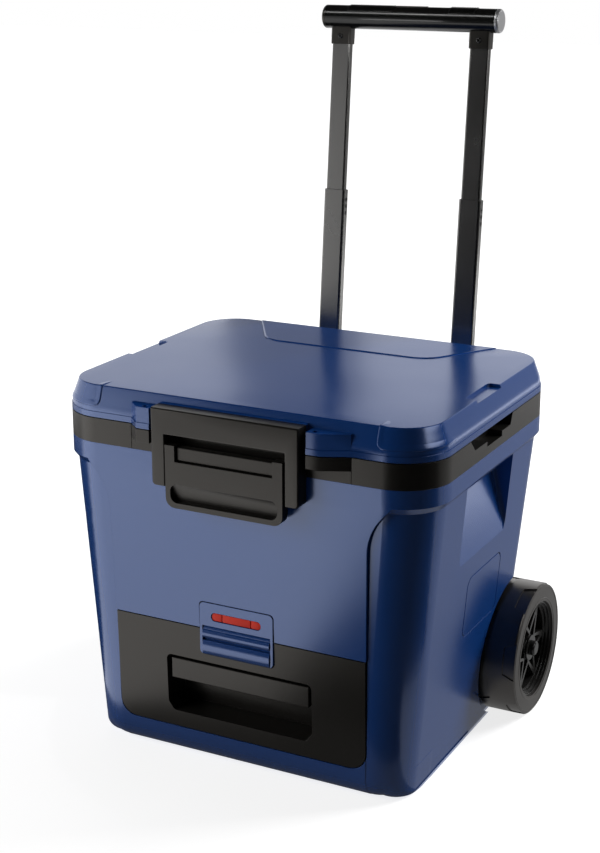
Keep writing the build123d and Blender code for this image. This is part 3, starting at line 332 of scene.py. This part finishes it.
def makeScrew():
    radius, height = screwLook["radius"] * mm, screwLook["height"] * mm
    bm = bmesh.new()
    profile = [(radius, screwLook["foot"] * mm)]
    profile += [(radius * wide, height * tall) for wide, tall in screwLook["profile"]]
    lathe(bm, profile, screwLook["steps"])
    head = meshFrom(bm, "screwHead")
    bm = bmesh.new()
    sides = (screwLook["crossLong"] * mm, screwLook["crossWide"] * mm, 2 * screwLook["crossDeep"] * mm)
    for turn in (0, pi / 2):
        place = Matrix.Translation((0, 0, height)) @ Matrix.Rotation(turn, 4, "Z")
        bmesh.ops.create_cube(bm, size=1, matrix=place @ Matrix.Diagonal((*sides, 1)))
    cutter = bpy.data.objects.new("screwCross", meshFrom(bm, "screwCross", smooth=False))
    scene.collection.objects.link(cutter)

    def setUp(holder):
        cut = holder.modifiers.new("cross", "BOOLEAN")
        cut.object = cutter
        cut.operation = "DIFFERENCE"
        cut.solver = "EXACT"
        cut.use_self = True

    screw = shaped(head, setUp)
    bpy.data.objects.remove(cutter)
    return screw


gripLow, gripHigh = [Vector(corner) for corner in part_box("grip_tube")]
gripMid = (gripLow + gripHigh) / 2
gripRadius = (gripHigh.z - gripLow.z) / 2
toFront = Vector((0, -postAxis.z, postAxis.y))
screwMesh = makeScrew()

# one screw on the front of each grip bracket, below the grip's middle
bracketScrews = dict(below=25.5, depth=8.5, turn=1.2, seed=3)
spots = []
for nodeName in ("grip_bracket_left", "grip_bracket_right"):
    low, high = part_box(nodeName)
    middle = gripMid - postAxis * bracketScrews["below"] * mm
    middle.x = (low[0] + high[0]) / 2
    spots.append((middle + toFront * bracketScrews["depth"] * mm, toFront))
spread("bracketScrews", spots, screwMesh, bodyOf["grip_tube"], "nut_black",
       turn=bracketScrews["turn"], seed=bracketScrews["seed"])

# eight screws on each carrier, whose plate leans with the back wall; the wall's sizes in metres
carrierScrews = dict(
    wallTop=0.1965, wallHeight=0.372, wallRun=0.032, plate=6.0,
    columns=(-131, -62, 62, 131), rows=(-17, 17), size=1.15, turn=6.2, seed=8,
)
spots = []
for nodeName in ("handle_carrier_top", "handle_carrier_bottom"):
    low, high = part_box(nodeName)
    for column in carrierScrews["columns"]:
        for row in carrierScrews["rows"]:
            z = (low[2] + high[2]) / 2 + row * mm
            wall = carrierScrews["wallTop"] - carrierScrews["wallRun"] * (1 - z / carrierScrews["wallHeight"])
            y = wall + carrierScrews["plate"] * mm / postAxis.z
            spots.append((Vector((column * mm, y, z)), -toFront))
spread("carrierScrews", spots, screwMesh, "root", "steel",
       size=carrierScrews["size"], turn=carrierScrews["turn"], seed=carrierScrews["seed"])
print("screws set")

# dark eyelets in the stop holes of the lower posts
eyeletLook = dict(
    drops=(13.5, 22.5, 31.5), halfDepth=7.0, steps=24,  # drops below the post's top, half the post's depth
    profile=((3.0, -0.2), (3.0, 0.12), (2.8, 0.16), (1.55, 0.05), (1.5, -0.9), (0, -0.9)),
)


def makeEyelet():
    bm = bmesh.new()
    profile = [(radius * mm, height * mm) for radius, height in eyeletLook["profile"]]
    lathe(bm, profile, eyeletLook["steps"])
    return meshFrom(bm, "postEyelet")


spots = []
for nodeName in ("lower_post_left", "lower_post_right"):
    high = Vector(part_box(nodeName)[1])
    top = high - Vector((0, postAxis.z, postAxis.y)) * eyeletLook["halfDepth"] * mm
    spots += [(top - postAxis * drop * mm, Vector((1, 0, 0))) for drop in eyeletLook["drops"]]
spread("postEyelets", spots, makeEyelet(), bodyOf["lower_post_left"], "seal_rubber")
print("post eyelets set")

# ribs on the grip's top, in two zones
ribLook = dict(
    zones=((-88, -24), (58, 94)), pitch=3.5, thick=1.15,  # millimetres
    wide=0.75, taper=4, tip=0.15, steps=22, sides=8,  # shares and counts
    reach=70,  # degrees to either side of the top
)


def makeRib():
    bm = bmesh.new()
    rings = []
    for step in range(ribLook["steps"] + 1):
        turn = radians(-ribLook["reach"] + 2 * ribLook["reach"] * step / ribLook["steps"])
        fromEnd = min(step, ribLook["steps"] - step)
        thin = ribLook["thick"] * mm * min(1, ribLook["taper"] * fromEnd / ribLook["steps"] + ribLook["tip"])
        ring = []
        for side in range(ribLook["sides"]):
            around = 2 * pi * side / ribLook["sides"]
            radius = gripRadius + thin * cos(around)
            x = thin * sin(around) * ribLook["wide"]
            ring.append(bm.verts.new((x, radius * sin(turn), radius * cos(turn))))
        rings.append(ring)
    stitch(bm, rings)
    bm.faces.new(rings[0])
    bm.faces.new(reversed(rings[-1]))
    return meshFrom(bm, "gripRib")


spots = []
for start, end in ribLook["zones"]:
    count = int((end - start) / ribLook["pitch"])
    for step in range(count + 1):
        spot = Vector(((start + ribLook["pitch"] * step) * mm, gripMid.y, gripMid.z))
        spots.append((spot, Vector((0, 0, 1))))
spread("gripRibs", spots, makeRib(), bodyOf["grip_tube"], slotOf["grip_tube"], look="grip_gloss")
print("grip ribs set:", len(spots))

# red tell-tale in three rounded lengths
redLook = dict(
    breaks=(-34, -19.3, 20.0, 34), gap=0.5, endRound=4.6, innerRound=1.0, edge=0.8, steps=8, sharp=40,
    roll=((1.0, 0), (0.25, 0.35), (0, 1.0)),  # how far in front and how far in, as shares of the edge
)


def makeRedBars():
    low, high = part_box("red_indicator")
    lastBar = len(redLook["breaks"]) - 2
    edge = redLook["edge"] * mm
    bm = bmesh.new()
    for index, (start, end) in enumerate(zip(redLook["breaks"], redLook["breaks"][1:])):
        left = max(start * mm + redLook["gap"] * mm / 2, low[0])
        right = min(end * mm - redLook["gap"] * mm / 2, high[0])
        outline = []
        corners = ((right, low[2], -90), (right, high[2], 0), (left, high[2], 90), (left, low[2], 180))
        for cornerX, cornerZ, first in corners:
            outer = (index == 0 and cornerX == left) or (index == lastBar and cornerX == right)
            radius = redLook["endRound" if outer else "innerRound"] * mm
            roundX = cornerX - radius if cornerX == right else cornerX + radius
            roundZ = cornerZ + radius if cornerZ == low[2] else cornerZ - radius
            for step in range(redLook["steps"] + 1):
                turn = radians(first + 90 * step / redLook["steps"])
                outline.append((roundX + radius * cos(turn), roundZ + radius * sin(turn)))
        middleX, middleZ = (left + right) / 2, (low[2] + high[2]) / 2
        levels = [(high[1], 0)]
        levels += [(low[1] + front * edge, inward) for front, inward in redLook["roll"]]
        layers = []
        for y, shrink in levels:
            scaleX = 1 - shrink * edge / ((right - left) / 2)
            scaleZ = 1 - shrink * edge / ((high[2] - low[2]) / 2)
            ring = []
            for x, z in outline:
                spot = (middleX + (x - middleX) * scaleX, y, middleZ + (z - middleZ) * scaleZ)
                ring.append(bm.verts.new(spot))
            layers.append(ring)
        stitch(bm, layers)
        bm.faces.new(layers[0])
        bm.faces.new(layers[-1])
    mesh = meshFrom(bm, "redBars")
    mesh.set_sharp_from_angle(angle=radians(redLook["sharp"]))
    return mesh


addPiece("redBars", makeRedBars(), bodyOf["red_indicator"], "signal_red", ("red_indicator",))

# moulded rings on the tyres' side walls
ringLook = dict(
    radii=(67.5, 83.0), wide=0.9, steps=96,
    profile=((-1.0, -0.3), (-0.5, 0.45), (0.5, 0.45), (1.0, -0.3)),  # share of the width, and height
)


def makeTyreRings(sign):
    low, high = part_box("tyre_right" if sign > 0 else "tyre_left")
    face = high[0] if sign > 0 else low[0]
    bm = bmesh.new()
    for radius in ringLook["radii"]:
        profile = []
        for across, height in ringLook["profile"]:
            profile.append(((radius + ringLook["wide"] * across) * mm, height * mm))
        lathe(bm, profile, ringLook["steps"])
    turn = Matrix.Rotation(sign * pi / 2, 4, "Y")
    place = Matrix.Translation((face, (low[1] + high[1]) / 2, (low[2] + high[2]) / 2))
    bmesh.ops.transform(bm, matrix=place @ turn, verts=bm.verts)
    return meshFrom(bm, "tyreRings")


for side, sign in (("left", -1), ("right", 1)):
    addPiece("tyreRings_" + side, makeTyreRings(sign), "wheel_" + side, "tyre_rubber")
print("wheel rings set")


# raised corner pads on the lid: a step that runs down over the crease and round the corner,
# then fades into the lid; millimetres
padLook = dict(
    profile=((-0.45, -0.15), (0.0, 0.70), (0.5, 0.85), (2.5, 0.75), (8.5, -0.12)),  # offset and height
    corner=60.0, start=-7.5, end=112.0, low=6.0, bend=9.0, top=56.0, fade=16.0, sink=0.15,
    dropStep=0.6, bendSteps=12, flatStep=2,
)
lidSection = dict(
    wallInset=1.0, wallBase=441.5, shoulder=448.0, shoulderRound=30.0,
    creaseInset=10.0, crease=472.0, creaseRound=1.5,
)
lidHalfDepth = -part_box("rim_band")[0][1]


# inset, height and outward lean at a length measured up the lid's side from its wall base
def alongSection(length):
    look = lidSection
    rise, run = look["crease"] - look["shoulder"], look["creaseInset"] - look["wallInset"]
    lean = atan2(run, rise)
    shoulderCut = look["shoulderRound"] * tan(lean / 2)
    creaseCut = look["creaseRound"] * tan((pi / 2 - lean) / 2)
    legs = (  # straight, then bend by an angle on a radius
        (look["shoulder"] - look["wallBase"] - shoulderCut, lean, look["shoulderRound"]),
        (hypot(rise, run) - shoulderCut - creaseCut, pi / 2 - lean, look["creaseRound"]),
    )
    inset, height, turn = look["wallInset"], look["wallBase"], 0.0
    for straight, bend, radius in legs:
        go = min(length, straight)
        inset, height, length = inset + go * sin(turn), height + go * cos(turn), length - go
        angle = min(length / radius, bend)
        inset += radius * (cos(turn) - cos(turn + angle))
        height += radius * (sin(turn + angle) - sin(turn))
        turn, length = turn + angle, length - angle * radius
    return inset + length, height, turn


# a point and its outward direction on the front right corner of the lid
def onLidCorner(along, length, halfX, halfY):
    inset, height, turn = alongSection(length)
    radius = padLook["corner"]
    arc = radius * pi / 2
    angle = min(max(along, 0), arc) / radius
    out = Vector((sin(angle), -cos(angle), 0))
    centre = Vector((halfX - radius, radius - halfY, 0))
    spot = centre + out * (radius - inset) + Vector((min(along, 0), max(along - arc, 0), height))
    return spot * mm, (out * cos(turn) + Vector((0, 0, sin(turn)))).normalized()


# the pad's line as points with a direction, in lengths along the rim and up the side
def padLine():
    look = padLook
    line = []
    drop = look["top"] - look["low"] - look["bend"]
    for step in range(int(drop / look["dropStep"]) + 1):
        line.append((look["start"], look["top"] - step * look["dropStep"], 0.0))
    for step in range(look["bendSteps"] + 1):
        angle = pi / 2 * step / look["bendSteps"]
        along = look["start"] + look["bend"] * (1 - cos(angle))
        line.append((along, look["low"] + look["bend"] * (1 - sin(angle)), angle))
    first = look["start"] + look["bend"]
    flat = look["end"] - first
    count = int(flat / look["flatStep"])
    line += [(first + flat * step / count, look["low"], pi / 2) for step in range(1, count + 1)]
    return line


def makePads():
    halfX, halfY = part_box("lid_shell")[1][0] / mm, lidHalfDepth / mm
    skin = BVHTree.FromPolygons([v.co for v in nodes["lid_shell"].data.vertices],
                                [tuple(face.vertices) for face in nodes["lid_shell"].data.polygons])
    line = padLine()
    total = sum(hypot(b[0] - a[0], b[1] - a[1]) for a, b in zip(line, line[1:]))
    bm = bmesh.new()
    for mirrorX in (1, -1):
        rows = []
        travelled = 0.0
        for index, (along, length, angle) in enumerate(line):
            if index:
                travelled += hypot(along - line[index - 1][0], length - line[index - 1][1])
            fade = min(1, min(travelled, total - travelled) / padLook["fade"])
            row = []
            for offset, height in padLook["profile"]:
                aside, above = offset * cos(angle), offset * sin(angle)
                spot, out = onLidCorner(along + aside, length + above, halfX, halfY)
                spot.x, out.x = spot.x * mirrorX, out.x * mirrorX
                nearest = skin.find_nearest(spot)[0]
                lift = height * fade if height > 0 else height
                row.append(bm.verts.new(nearest + out * (lift - padLook["sink"] * (1 - fade)) * mm))
            rows.append(row)
        for one, two in zip(rows, rows[1:]):
            for column in range(len(one) - 1):
                quad = (one[column], one[column + 1], two[column + 1], two[column])
                bm.faces.new(quad if mirrorX < 0 else quad[::-1])
    for face in bm.faces:
        face.smooth = True
    mesh = bpy.data.meshes.new("lidPads")
    bm.to_mesh(mesh)
    bm.free()
    return mesh


addPiece("lidPads", makePads(), bodyOf["lid_shell"], "body_blue")
print("lid pads set")


# raised panel at the lid's back, with a leaning edge all round; millimetres
plateLook = dict(
    front=96.5, half=116.5, flare=62.0, back=191.5, span=102.5, corner=42.0, high=1.2, lean=1.2, foot=1.4,
    edge=((0.7, 0.7), (0.95, 1.15), (1.0, 1.6), (1.0, 2.6)),  # shares of the height and of the lean
    steps=14, sharp=35,
)


# the panel's outline, shrunk by an inset, from the back left corner round the front
def plateOutline(inset):
    look = plateLook
    slant = atan2(look["span"], look["flare"])
    front = look["front"] + inset
    radius = look["corner"] - inset
    reach = look["half"] - inset * tan(slant / 2)
    middleX = reach - radius * tan(slant / 2)
    back = look["back"] - inset
    endX = reach + (back - front) / tan(slant)
    turns = [slant * step / look["steps"] for step in range(look["steps"] + 1)]
    right = [(middleX + radius * sin(turn), front + radius * (1 - cos(turn))) for turn in turns]
    right.append((endX, back))
    return [(-x, y) for x, y in reversed(right)] + right


def makePlate():
    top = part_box("lid_shell")[1][2]
    levels = [(-plateLook["foot"], 0), (0, 0)]
    levels += [(up * plateLook["high"], inward * plateLook["lean"]) for up, inward in plateLook["edge"]]
    bm = bmesh.new()
    layers = []
    for height, inset in levels:
        layers.append([bm.verts.new((x * mm, y * mm, top + height * mm)) for x, y in plateOutline(inset)])
    stitch(bm, layers)
    bm.faces.new(layers[-1])
    mesh = meshFrom(bm, "lidPanel")
    mesh.set_sharp_from_angle(angle=radians(plateLook["sharp"]))
    return mesh


addPiece("lidPanel", makePlate(), bodyOf["lid_shell"], "body_blue")
print("lid panel set")


# the crisp skirt runs out round the front corners of the base and rolls up into the round belly; millimetres
skirtLook = dict(
    side=214.0, sideDraft=30.0, front=-190.5, corner=46.0, cornerGrow=8.0, height=372.0,  # the base wall
    start=-96.0, hold=-122.0, turn=58.0, edge=1.2, belly=34.0, growth=1.6, top=40.0, inner=42.0,
    lift=0.12, sink=0.4, ground=0.03, straightSteps=12, cornerSteps=14, arcSteps=12, sharp=40,
)


# a point of the drafted base wall at a height, with its outward direction
def baseWall(y, angle, z):
    look = skirtLook
    share = z / look["height"]
    sideX = look["side"] + look["sideDraft"] * share
    if angle <= 0:
        return Vector((sideX, y, z)), Vector((1, 0, 0))
    radius = look["corner"] + look["cornerGrow"] * share
    out = Vector((cos(angle), -sin(angle), 0))
    return Vector((sideX - radius, look["front"] + radius, z)) + out * radius, out


# one closed section of the skirt's end: out to the wall, down it, round an arc and back under the base
def skirtSection(y, angle, radius, lift):
    look = skirtLook
    foot, out = baseWall(y, angle, 0)
    head = baseWall(y, angle, look["top"])[0]
    lean = (head - foot).dot(out) / look["top"]
    centre = lean * radius - radius * hypot(1, lean)
    points = [(lean * look["top"] - look["inner"], look["top"]), (lean * look["top"] + lift, look["top"])]
    for step in range(look["arcSteps"] + 1):
        turn = -atan2(lean, 1) - (pi / 2 - atan2(lean, 1)) * step / look["arcSteps"]
        height = max(radius + radius * sin(turn), look["ground"])
        points.append((centre + (radius + lift) * cos(turn), height))
    points.append((-look["inner"], look["ground"]))
    base = Vector((foot.x, foot.y, 0))
    return [(base + out * across + Vector((0, 0, height))) * mm for across, height in points]


def makeSkirtEnds():
    look = skirtLook
    straightEnd = look["front"] + look["corner"]
    straight, count = straightEnd - look["start"], look["straightSteps"]
    turn = radians(look["turn"])
    path = [(look["start"] + straight * step / count, 0.0) for step in range(count)]
    path += [(straightEnd, turn * step / look["cornerSteps"]) for step in range(look["cornerSteps"] + 1)]
    length = look["hold"] - straightEnd + look["corner"] * turn
    bm = bmesh.new()
    for mirrorX in (1, -1):
        rows = []
        for index, (y, angle) in enumerate(path):
            gone = max(look["hold"] - y + look["corner"] * angle, 0) / length
            radius = look["edge"] + (look["belly"] - look["edge"]) * gone ** look["growth"]
            lift = -look["sink"] if index in (0, len(path) - 1) else look["lift"]
            section = skirtSection(y, angle, radius, lift)
            rows.append([bm.verts.new((point.x * mirrorX, point.y, point.z)) for point in section])
        stitch(bm, rows)
        bm.faces.new(rows[0])
        bm.faces.new(rows[-1])
    mesh = meshFrom(bm, "skirtEnds")
    mesh.set_sharp_from_angle(angle=radians(look["sharp"]))
    return mesh


addPiece("skirtEnds", makeSkirtEnds(), bodyOf["body_shell"], "body_blue")
print("skirt ends set")

# the studio: a floor that glows to white further out, a white backdrop, soft boxes and cards; metres
floorLook = dict(
    size=24.0, color=(0.36, 0.36, 0.36), rough=0.5, specular=0.2, gloss=1.0,
    glowNear=0.78, glowFar=1.0, fadeStart=0.45, fadeEnd=1.7,
)


def makeFloor():
    half = floorLook["size"] / 2
    mesh = bpy.data.meshes.new("studioFloor")
    corners = [(-half, -half, 0), (half, -half, 0), (half, half, 0), (-half, half, 0)]
    mesh.from_pydata(corners, [], [(0, 1, 2, 3)])
    floor = bpy.data.objects.new("studioFloor", mesh)
    scene.collection.objects.link(floor)
    material = bpy.data.materials.new("studioFloor")
    material.use_nodes = True
    tree = material.node_tree
    shader = tree.nodes["Principled BSDF"]
    shader.inputs["Base Color"].default_value = (*floorLook["color"], 1)
    shader.inputs["Roughness"].default_value = floorLook["rough"]
    shader.inputs["Specular IOR Level"].default_value = floorLook["specular"]
    shader.inputs["Emission Color"].default_value = (1, 1, 1, 1)
    coords = addNode(tree, "ShaderNodeTexCoord")
    reach = addNode(tree, "ShaderNodeVectorMath", operation="LENGTH")
    wire(tree, coords.outputs["Object"], reach.inputs[0])
    fade = addNode(tree, "ShaderNodeMapRange", interpolation_type="SMOOTHSTEP")
    fade.inputs["From Min"].default_value = floorLook["fadeStart"]
    fade.inputs["From Max"].default_value = floorLook["fadeEnd"]
    fade.inputs["To Min"].default_value = floorLook["glowNear"]
    fade.inputs["To Max"].default_value = floorLook["glowFar"]
    wire(tree, reach.outputs["Value"], fade.inputs["Value"])
    path = addNode(tree, "ShaderNodeLightPath")
    mirrored = addNode(tree, "ShaderNodeMath", operation="MULTIPLY")
    mirrored.inputs[1].default_value = floorLook["gloss"]
    glow = addNode(tree, "ShaderNodeMath", operation="MULTIPLY_ADD")
    wire(tree, path.outputs["Is Glossy Ray"], mirrored.inputs[0])
    wire(tree, fade.outputs["Result"], glow.inputs[0])
    wire(tree, path.outputs["Is Camera Ray"], glow.inputs[1])
    wire(tree, mirrored.outputs[0], glow.inputs[2])
    wire(tree, glow.outputs[0], shader.inputs["Emission Strength"])
    mesh.materials.append(material)


# white to the camera and to gloss, a dim fill for the rest
worldLook = dict(fill=0.05, backdrop=1.0)


def makeWorld():
    world = bpy.data.worlds.new("studio")
    scene.world = world
    world.use_nodes = True
    tree = world.node_tree
    plain = tree.nodes["Background"]
    plain.inputs["Color"].default_value = (1, 1, 1, 1)
    plain.inputs["Strength"].default_value = worldLook["fill"]
    white = addNode(tree, "ShaderNodeBackground")
    white.inputs["Color"].default_value = (1, 1, 1, 1)
    white.inputs["Strength"].default_value = worldLook["backdrop"]
    path = addNode(tree, "ShaderNodeLightPath")
    seen = addNode(tree, "ShaderNodeMath", operation="MAXIMUM")
    seenAll = addNode(tree, "ShaderNodeMath", operation="MAXIMUM")
    wire(tree, path.outputs["Is Camera Ray"], seen.inputs[0])
    wire(tree, path.outputs["Is Glossy Ray"], seen.inputs[1])
    wire(tree, seen.outputs[0], seenAll.inputs[0])
    wire(tree, path.outputs["Is Transmission Ray"], seenAll.inputs[1])
    mix = addNode(tree, "ShaderNodeMixShader")
    wire(tree, seenAll.outputs[0], mix.inputs["Fac"])
    wire(tree, plain.outputs["Background"], mix.inputs[1])
    wire(tree, white.outputs["Background"], mix.inputs[2])
    wire(tree, mix.outputs["Shader"], tree.nodes["World Output"].inputs["Surface"])


# soft boxes, power in watts
lamps = {
    "keyBox": dict(place=(-2.45, -1.95, 1.25), aim=(0, 0, 0.25), size=(1.8, 2.3), power=92),
    "sideBox": dict(place=(1.95, 1.95, 1.7), aim=(0, 0, 0.25), size=(1.5, 1.6), power=150),
    "topBox": dict(place=(-0.2, 0.9, 3.0), aim=(0, 0, 0.3), size=(2.4, 2.0), power=23),
}


def aimAt(thing, place, aim):
    thing.location = place
    thing.rotation_euler = (Vector(aim) - Vector(place)).to_track_quat("-Z", "Y").to_euler()


def makeLamps():
    for name, lamp in lamps.items():
        data = bpy.data.lights.new(name, "AREA")
        data.shape = "RECTANGLE"
        data.size, data.size_y = lamp["size"]
        data.energy = lamp["power"]
        thing = bpy.data.objects.new(name, data)
        scene.collection.objects.link(thing)
        aimAt(thing, lamp["place"], lamp["aim"])
        thing.visible_glossy = False  # gloss sees the cards and the backdrop instead


# studio cards that only gloss sees: black round the camera's side and overhead, dim at the back,
# lit at the right; start and end in degrees round the part, the rest in metres
flags = {
    "rightMat": dict(start=-97, end=8, near=0.0, far=1.7, low=0.004, high=0.004, glow=0.0),
    "rightWall": dict(start=-121, end=40, near=1.7, far=1.7, low=0.0, high=1.6, glow=0.0),
    "leftTop": dict(start=-180, end=-121, near=1.7, far=1.7, low=1.06, high=1.6, glow=0.0),
    "backMat": dict(start=8, end=112, near=0.0, far=2.2, low=0.004, high=0.004, glow=0.34),
    "backWall": dict(start=36, end=88, near=2.2, far=2.2, low=0.2, high=1.6, glow=0.33),
    "backTop": dict(start=36, end=88, near=2.19, far=2.19, low=1.0, high=1.6, glow=0.75),
    "leftMat": dict(start=138, end=200, near=0.27, far=1.7, low=0.004, high=0.004, glow=0.0),
    # painted shade: a dim card under the part darkens the floor's reflection where the contact shadow falls,
    # which the floor's gloss glow leaves out
    "nearMat": dict(start=-200, end=-20, near=0.0, far=0.345, low=0.006, high=0.006, glow=0.10),
    "sideMat": dict(start=-34, end=40, near=0.2, far=0.5, low=0.008, high=0.008, glow=0.32),
    "backCard": dict(start=113.5, end=122.5, near=2.2, far=2.2, low=0.3, high=1.6, glow=0.30),
    "rightStrip": dict(start=-16, end=28, near=1.62, far=1.62, low=0.85, high=1.5, glow=2.2),
    "ceiling": dict(start=0, end=360, near=0.0, far=2.3, low=1.6, high=1.6, glow=0.0),
}
flagSteps = 36
cardLook = dict(color=(0.005, 0.005, 0.005), rough=0.9)


# two lit strips along the grip's front, which draw its highlights; millimetres
gripCards = dict(
    width=13, reach=110, slip=-52,
    cards=((44, 140, 10.0), (-13, 60, 5.0)),  # rise in degrees, half length, glow
)


def addCard(name, points, faces, glow):
    material = bpy.data.materials.new(name)
    material.use_nodes = True
    shader = material.node_tree.nodes["Principled BSDF"]
    shader.inputs["Base Color"].default_value = (*cardLook["color"], 1)
    shader.inputs["Roughness"].default_value = cardLook["rough"]
    shader.inputs["Emission Color"].default_value = (1, 1, 1, 1)
    shader.inputs["Emission Strength"].default_value = glow
    mesh = bpy.data.meshes.new(name)
    mesh.from_pydata(points, [], faces)
    mesh.materials.append(material)
    card = bpy.data.objects.new(name, mesh)
    scene.collection.objects.link(card)
    card.visible_camera = False
    card.visible_diffuse = False
    card.visible_shadow = False
    card.visible_transmission = False


def makeGripCards():
    for index, (rise, half, glow) in enumerate(gripCards["cards"]):
        out = Vector((0, -cos(radians(rise)), sin(radians(rise))))
        across = Vector((0, sin(radians(rise)), cos(radians(rise)))) * gripCards["width"] * mm / 2
        slip = gripCards["slip"] * cos(radians(rise))
        middle = gripMid + out * gripCards["reach"] * mm
        points = []
        for end in (-1, 1):
            along = Vector(((slip + end * half) * mm, 0, 0))
            points += [middle + along - across, middle + along + across]
        addCard(f"gripCard{index + 1}", points, [(0, 2, 3, 1)], glow)


def makeFlags():
    for name, look in flags.items():
        inner, outer = [], []
        for step in range(flagSteps + 1):
            turn = radians(look["start"] + (look["end"] - look["start"]) * step / flagSteps)
            inner.append((look["near"] * cos(turn), look["near"] * sin(turn), look["low"]))
            outer.append((look["far"] * cos(turn), look["far"] * sin(turn), look["high"]))
        count = flagSteps + 1
        faces = [(step, step + 1, count + step + 1, count + step) for step in range(flagSteps)]
        addCard(name, inner + outer, faces, look["glow"])


# camera at the photograph's angle
cameraLook = dict(
    place=(0.9064, -1.7929, 1.0051), forward=(-0.43742, 0.85081, -0.29119), lens=70.13, sensor=36,
)


def makeCamera():
    data = bpy.data.cameras.new("photoCamera")
    data.lens = cameraLook["lens"]
    data.sensor_width = cameraLook["sensor"]
    data.sensor_fit = "AUTO"
    camera = bpy.data.objects.new("photoCamera", data)
    scene.collection.objects.link(camera)
    place = Vector(cameraLook["place"])
    aimAt(camera, place, place + Vector(cameraLook["forward"]))
    scene.camera = camera


makeFloor()
makeWorld()
makeLamps()
makeFlags()
makeGripCards()
makeCamera()
scene.view_settings.view_transform = "Standard"
print("studio made")
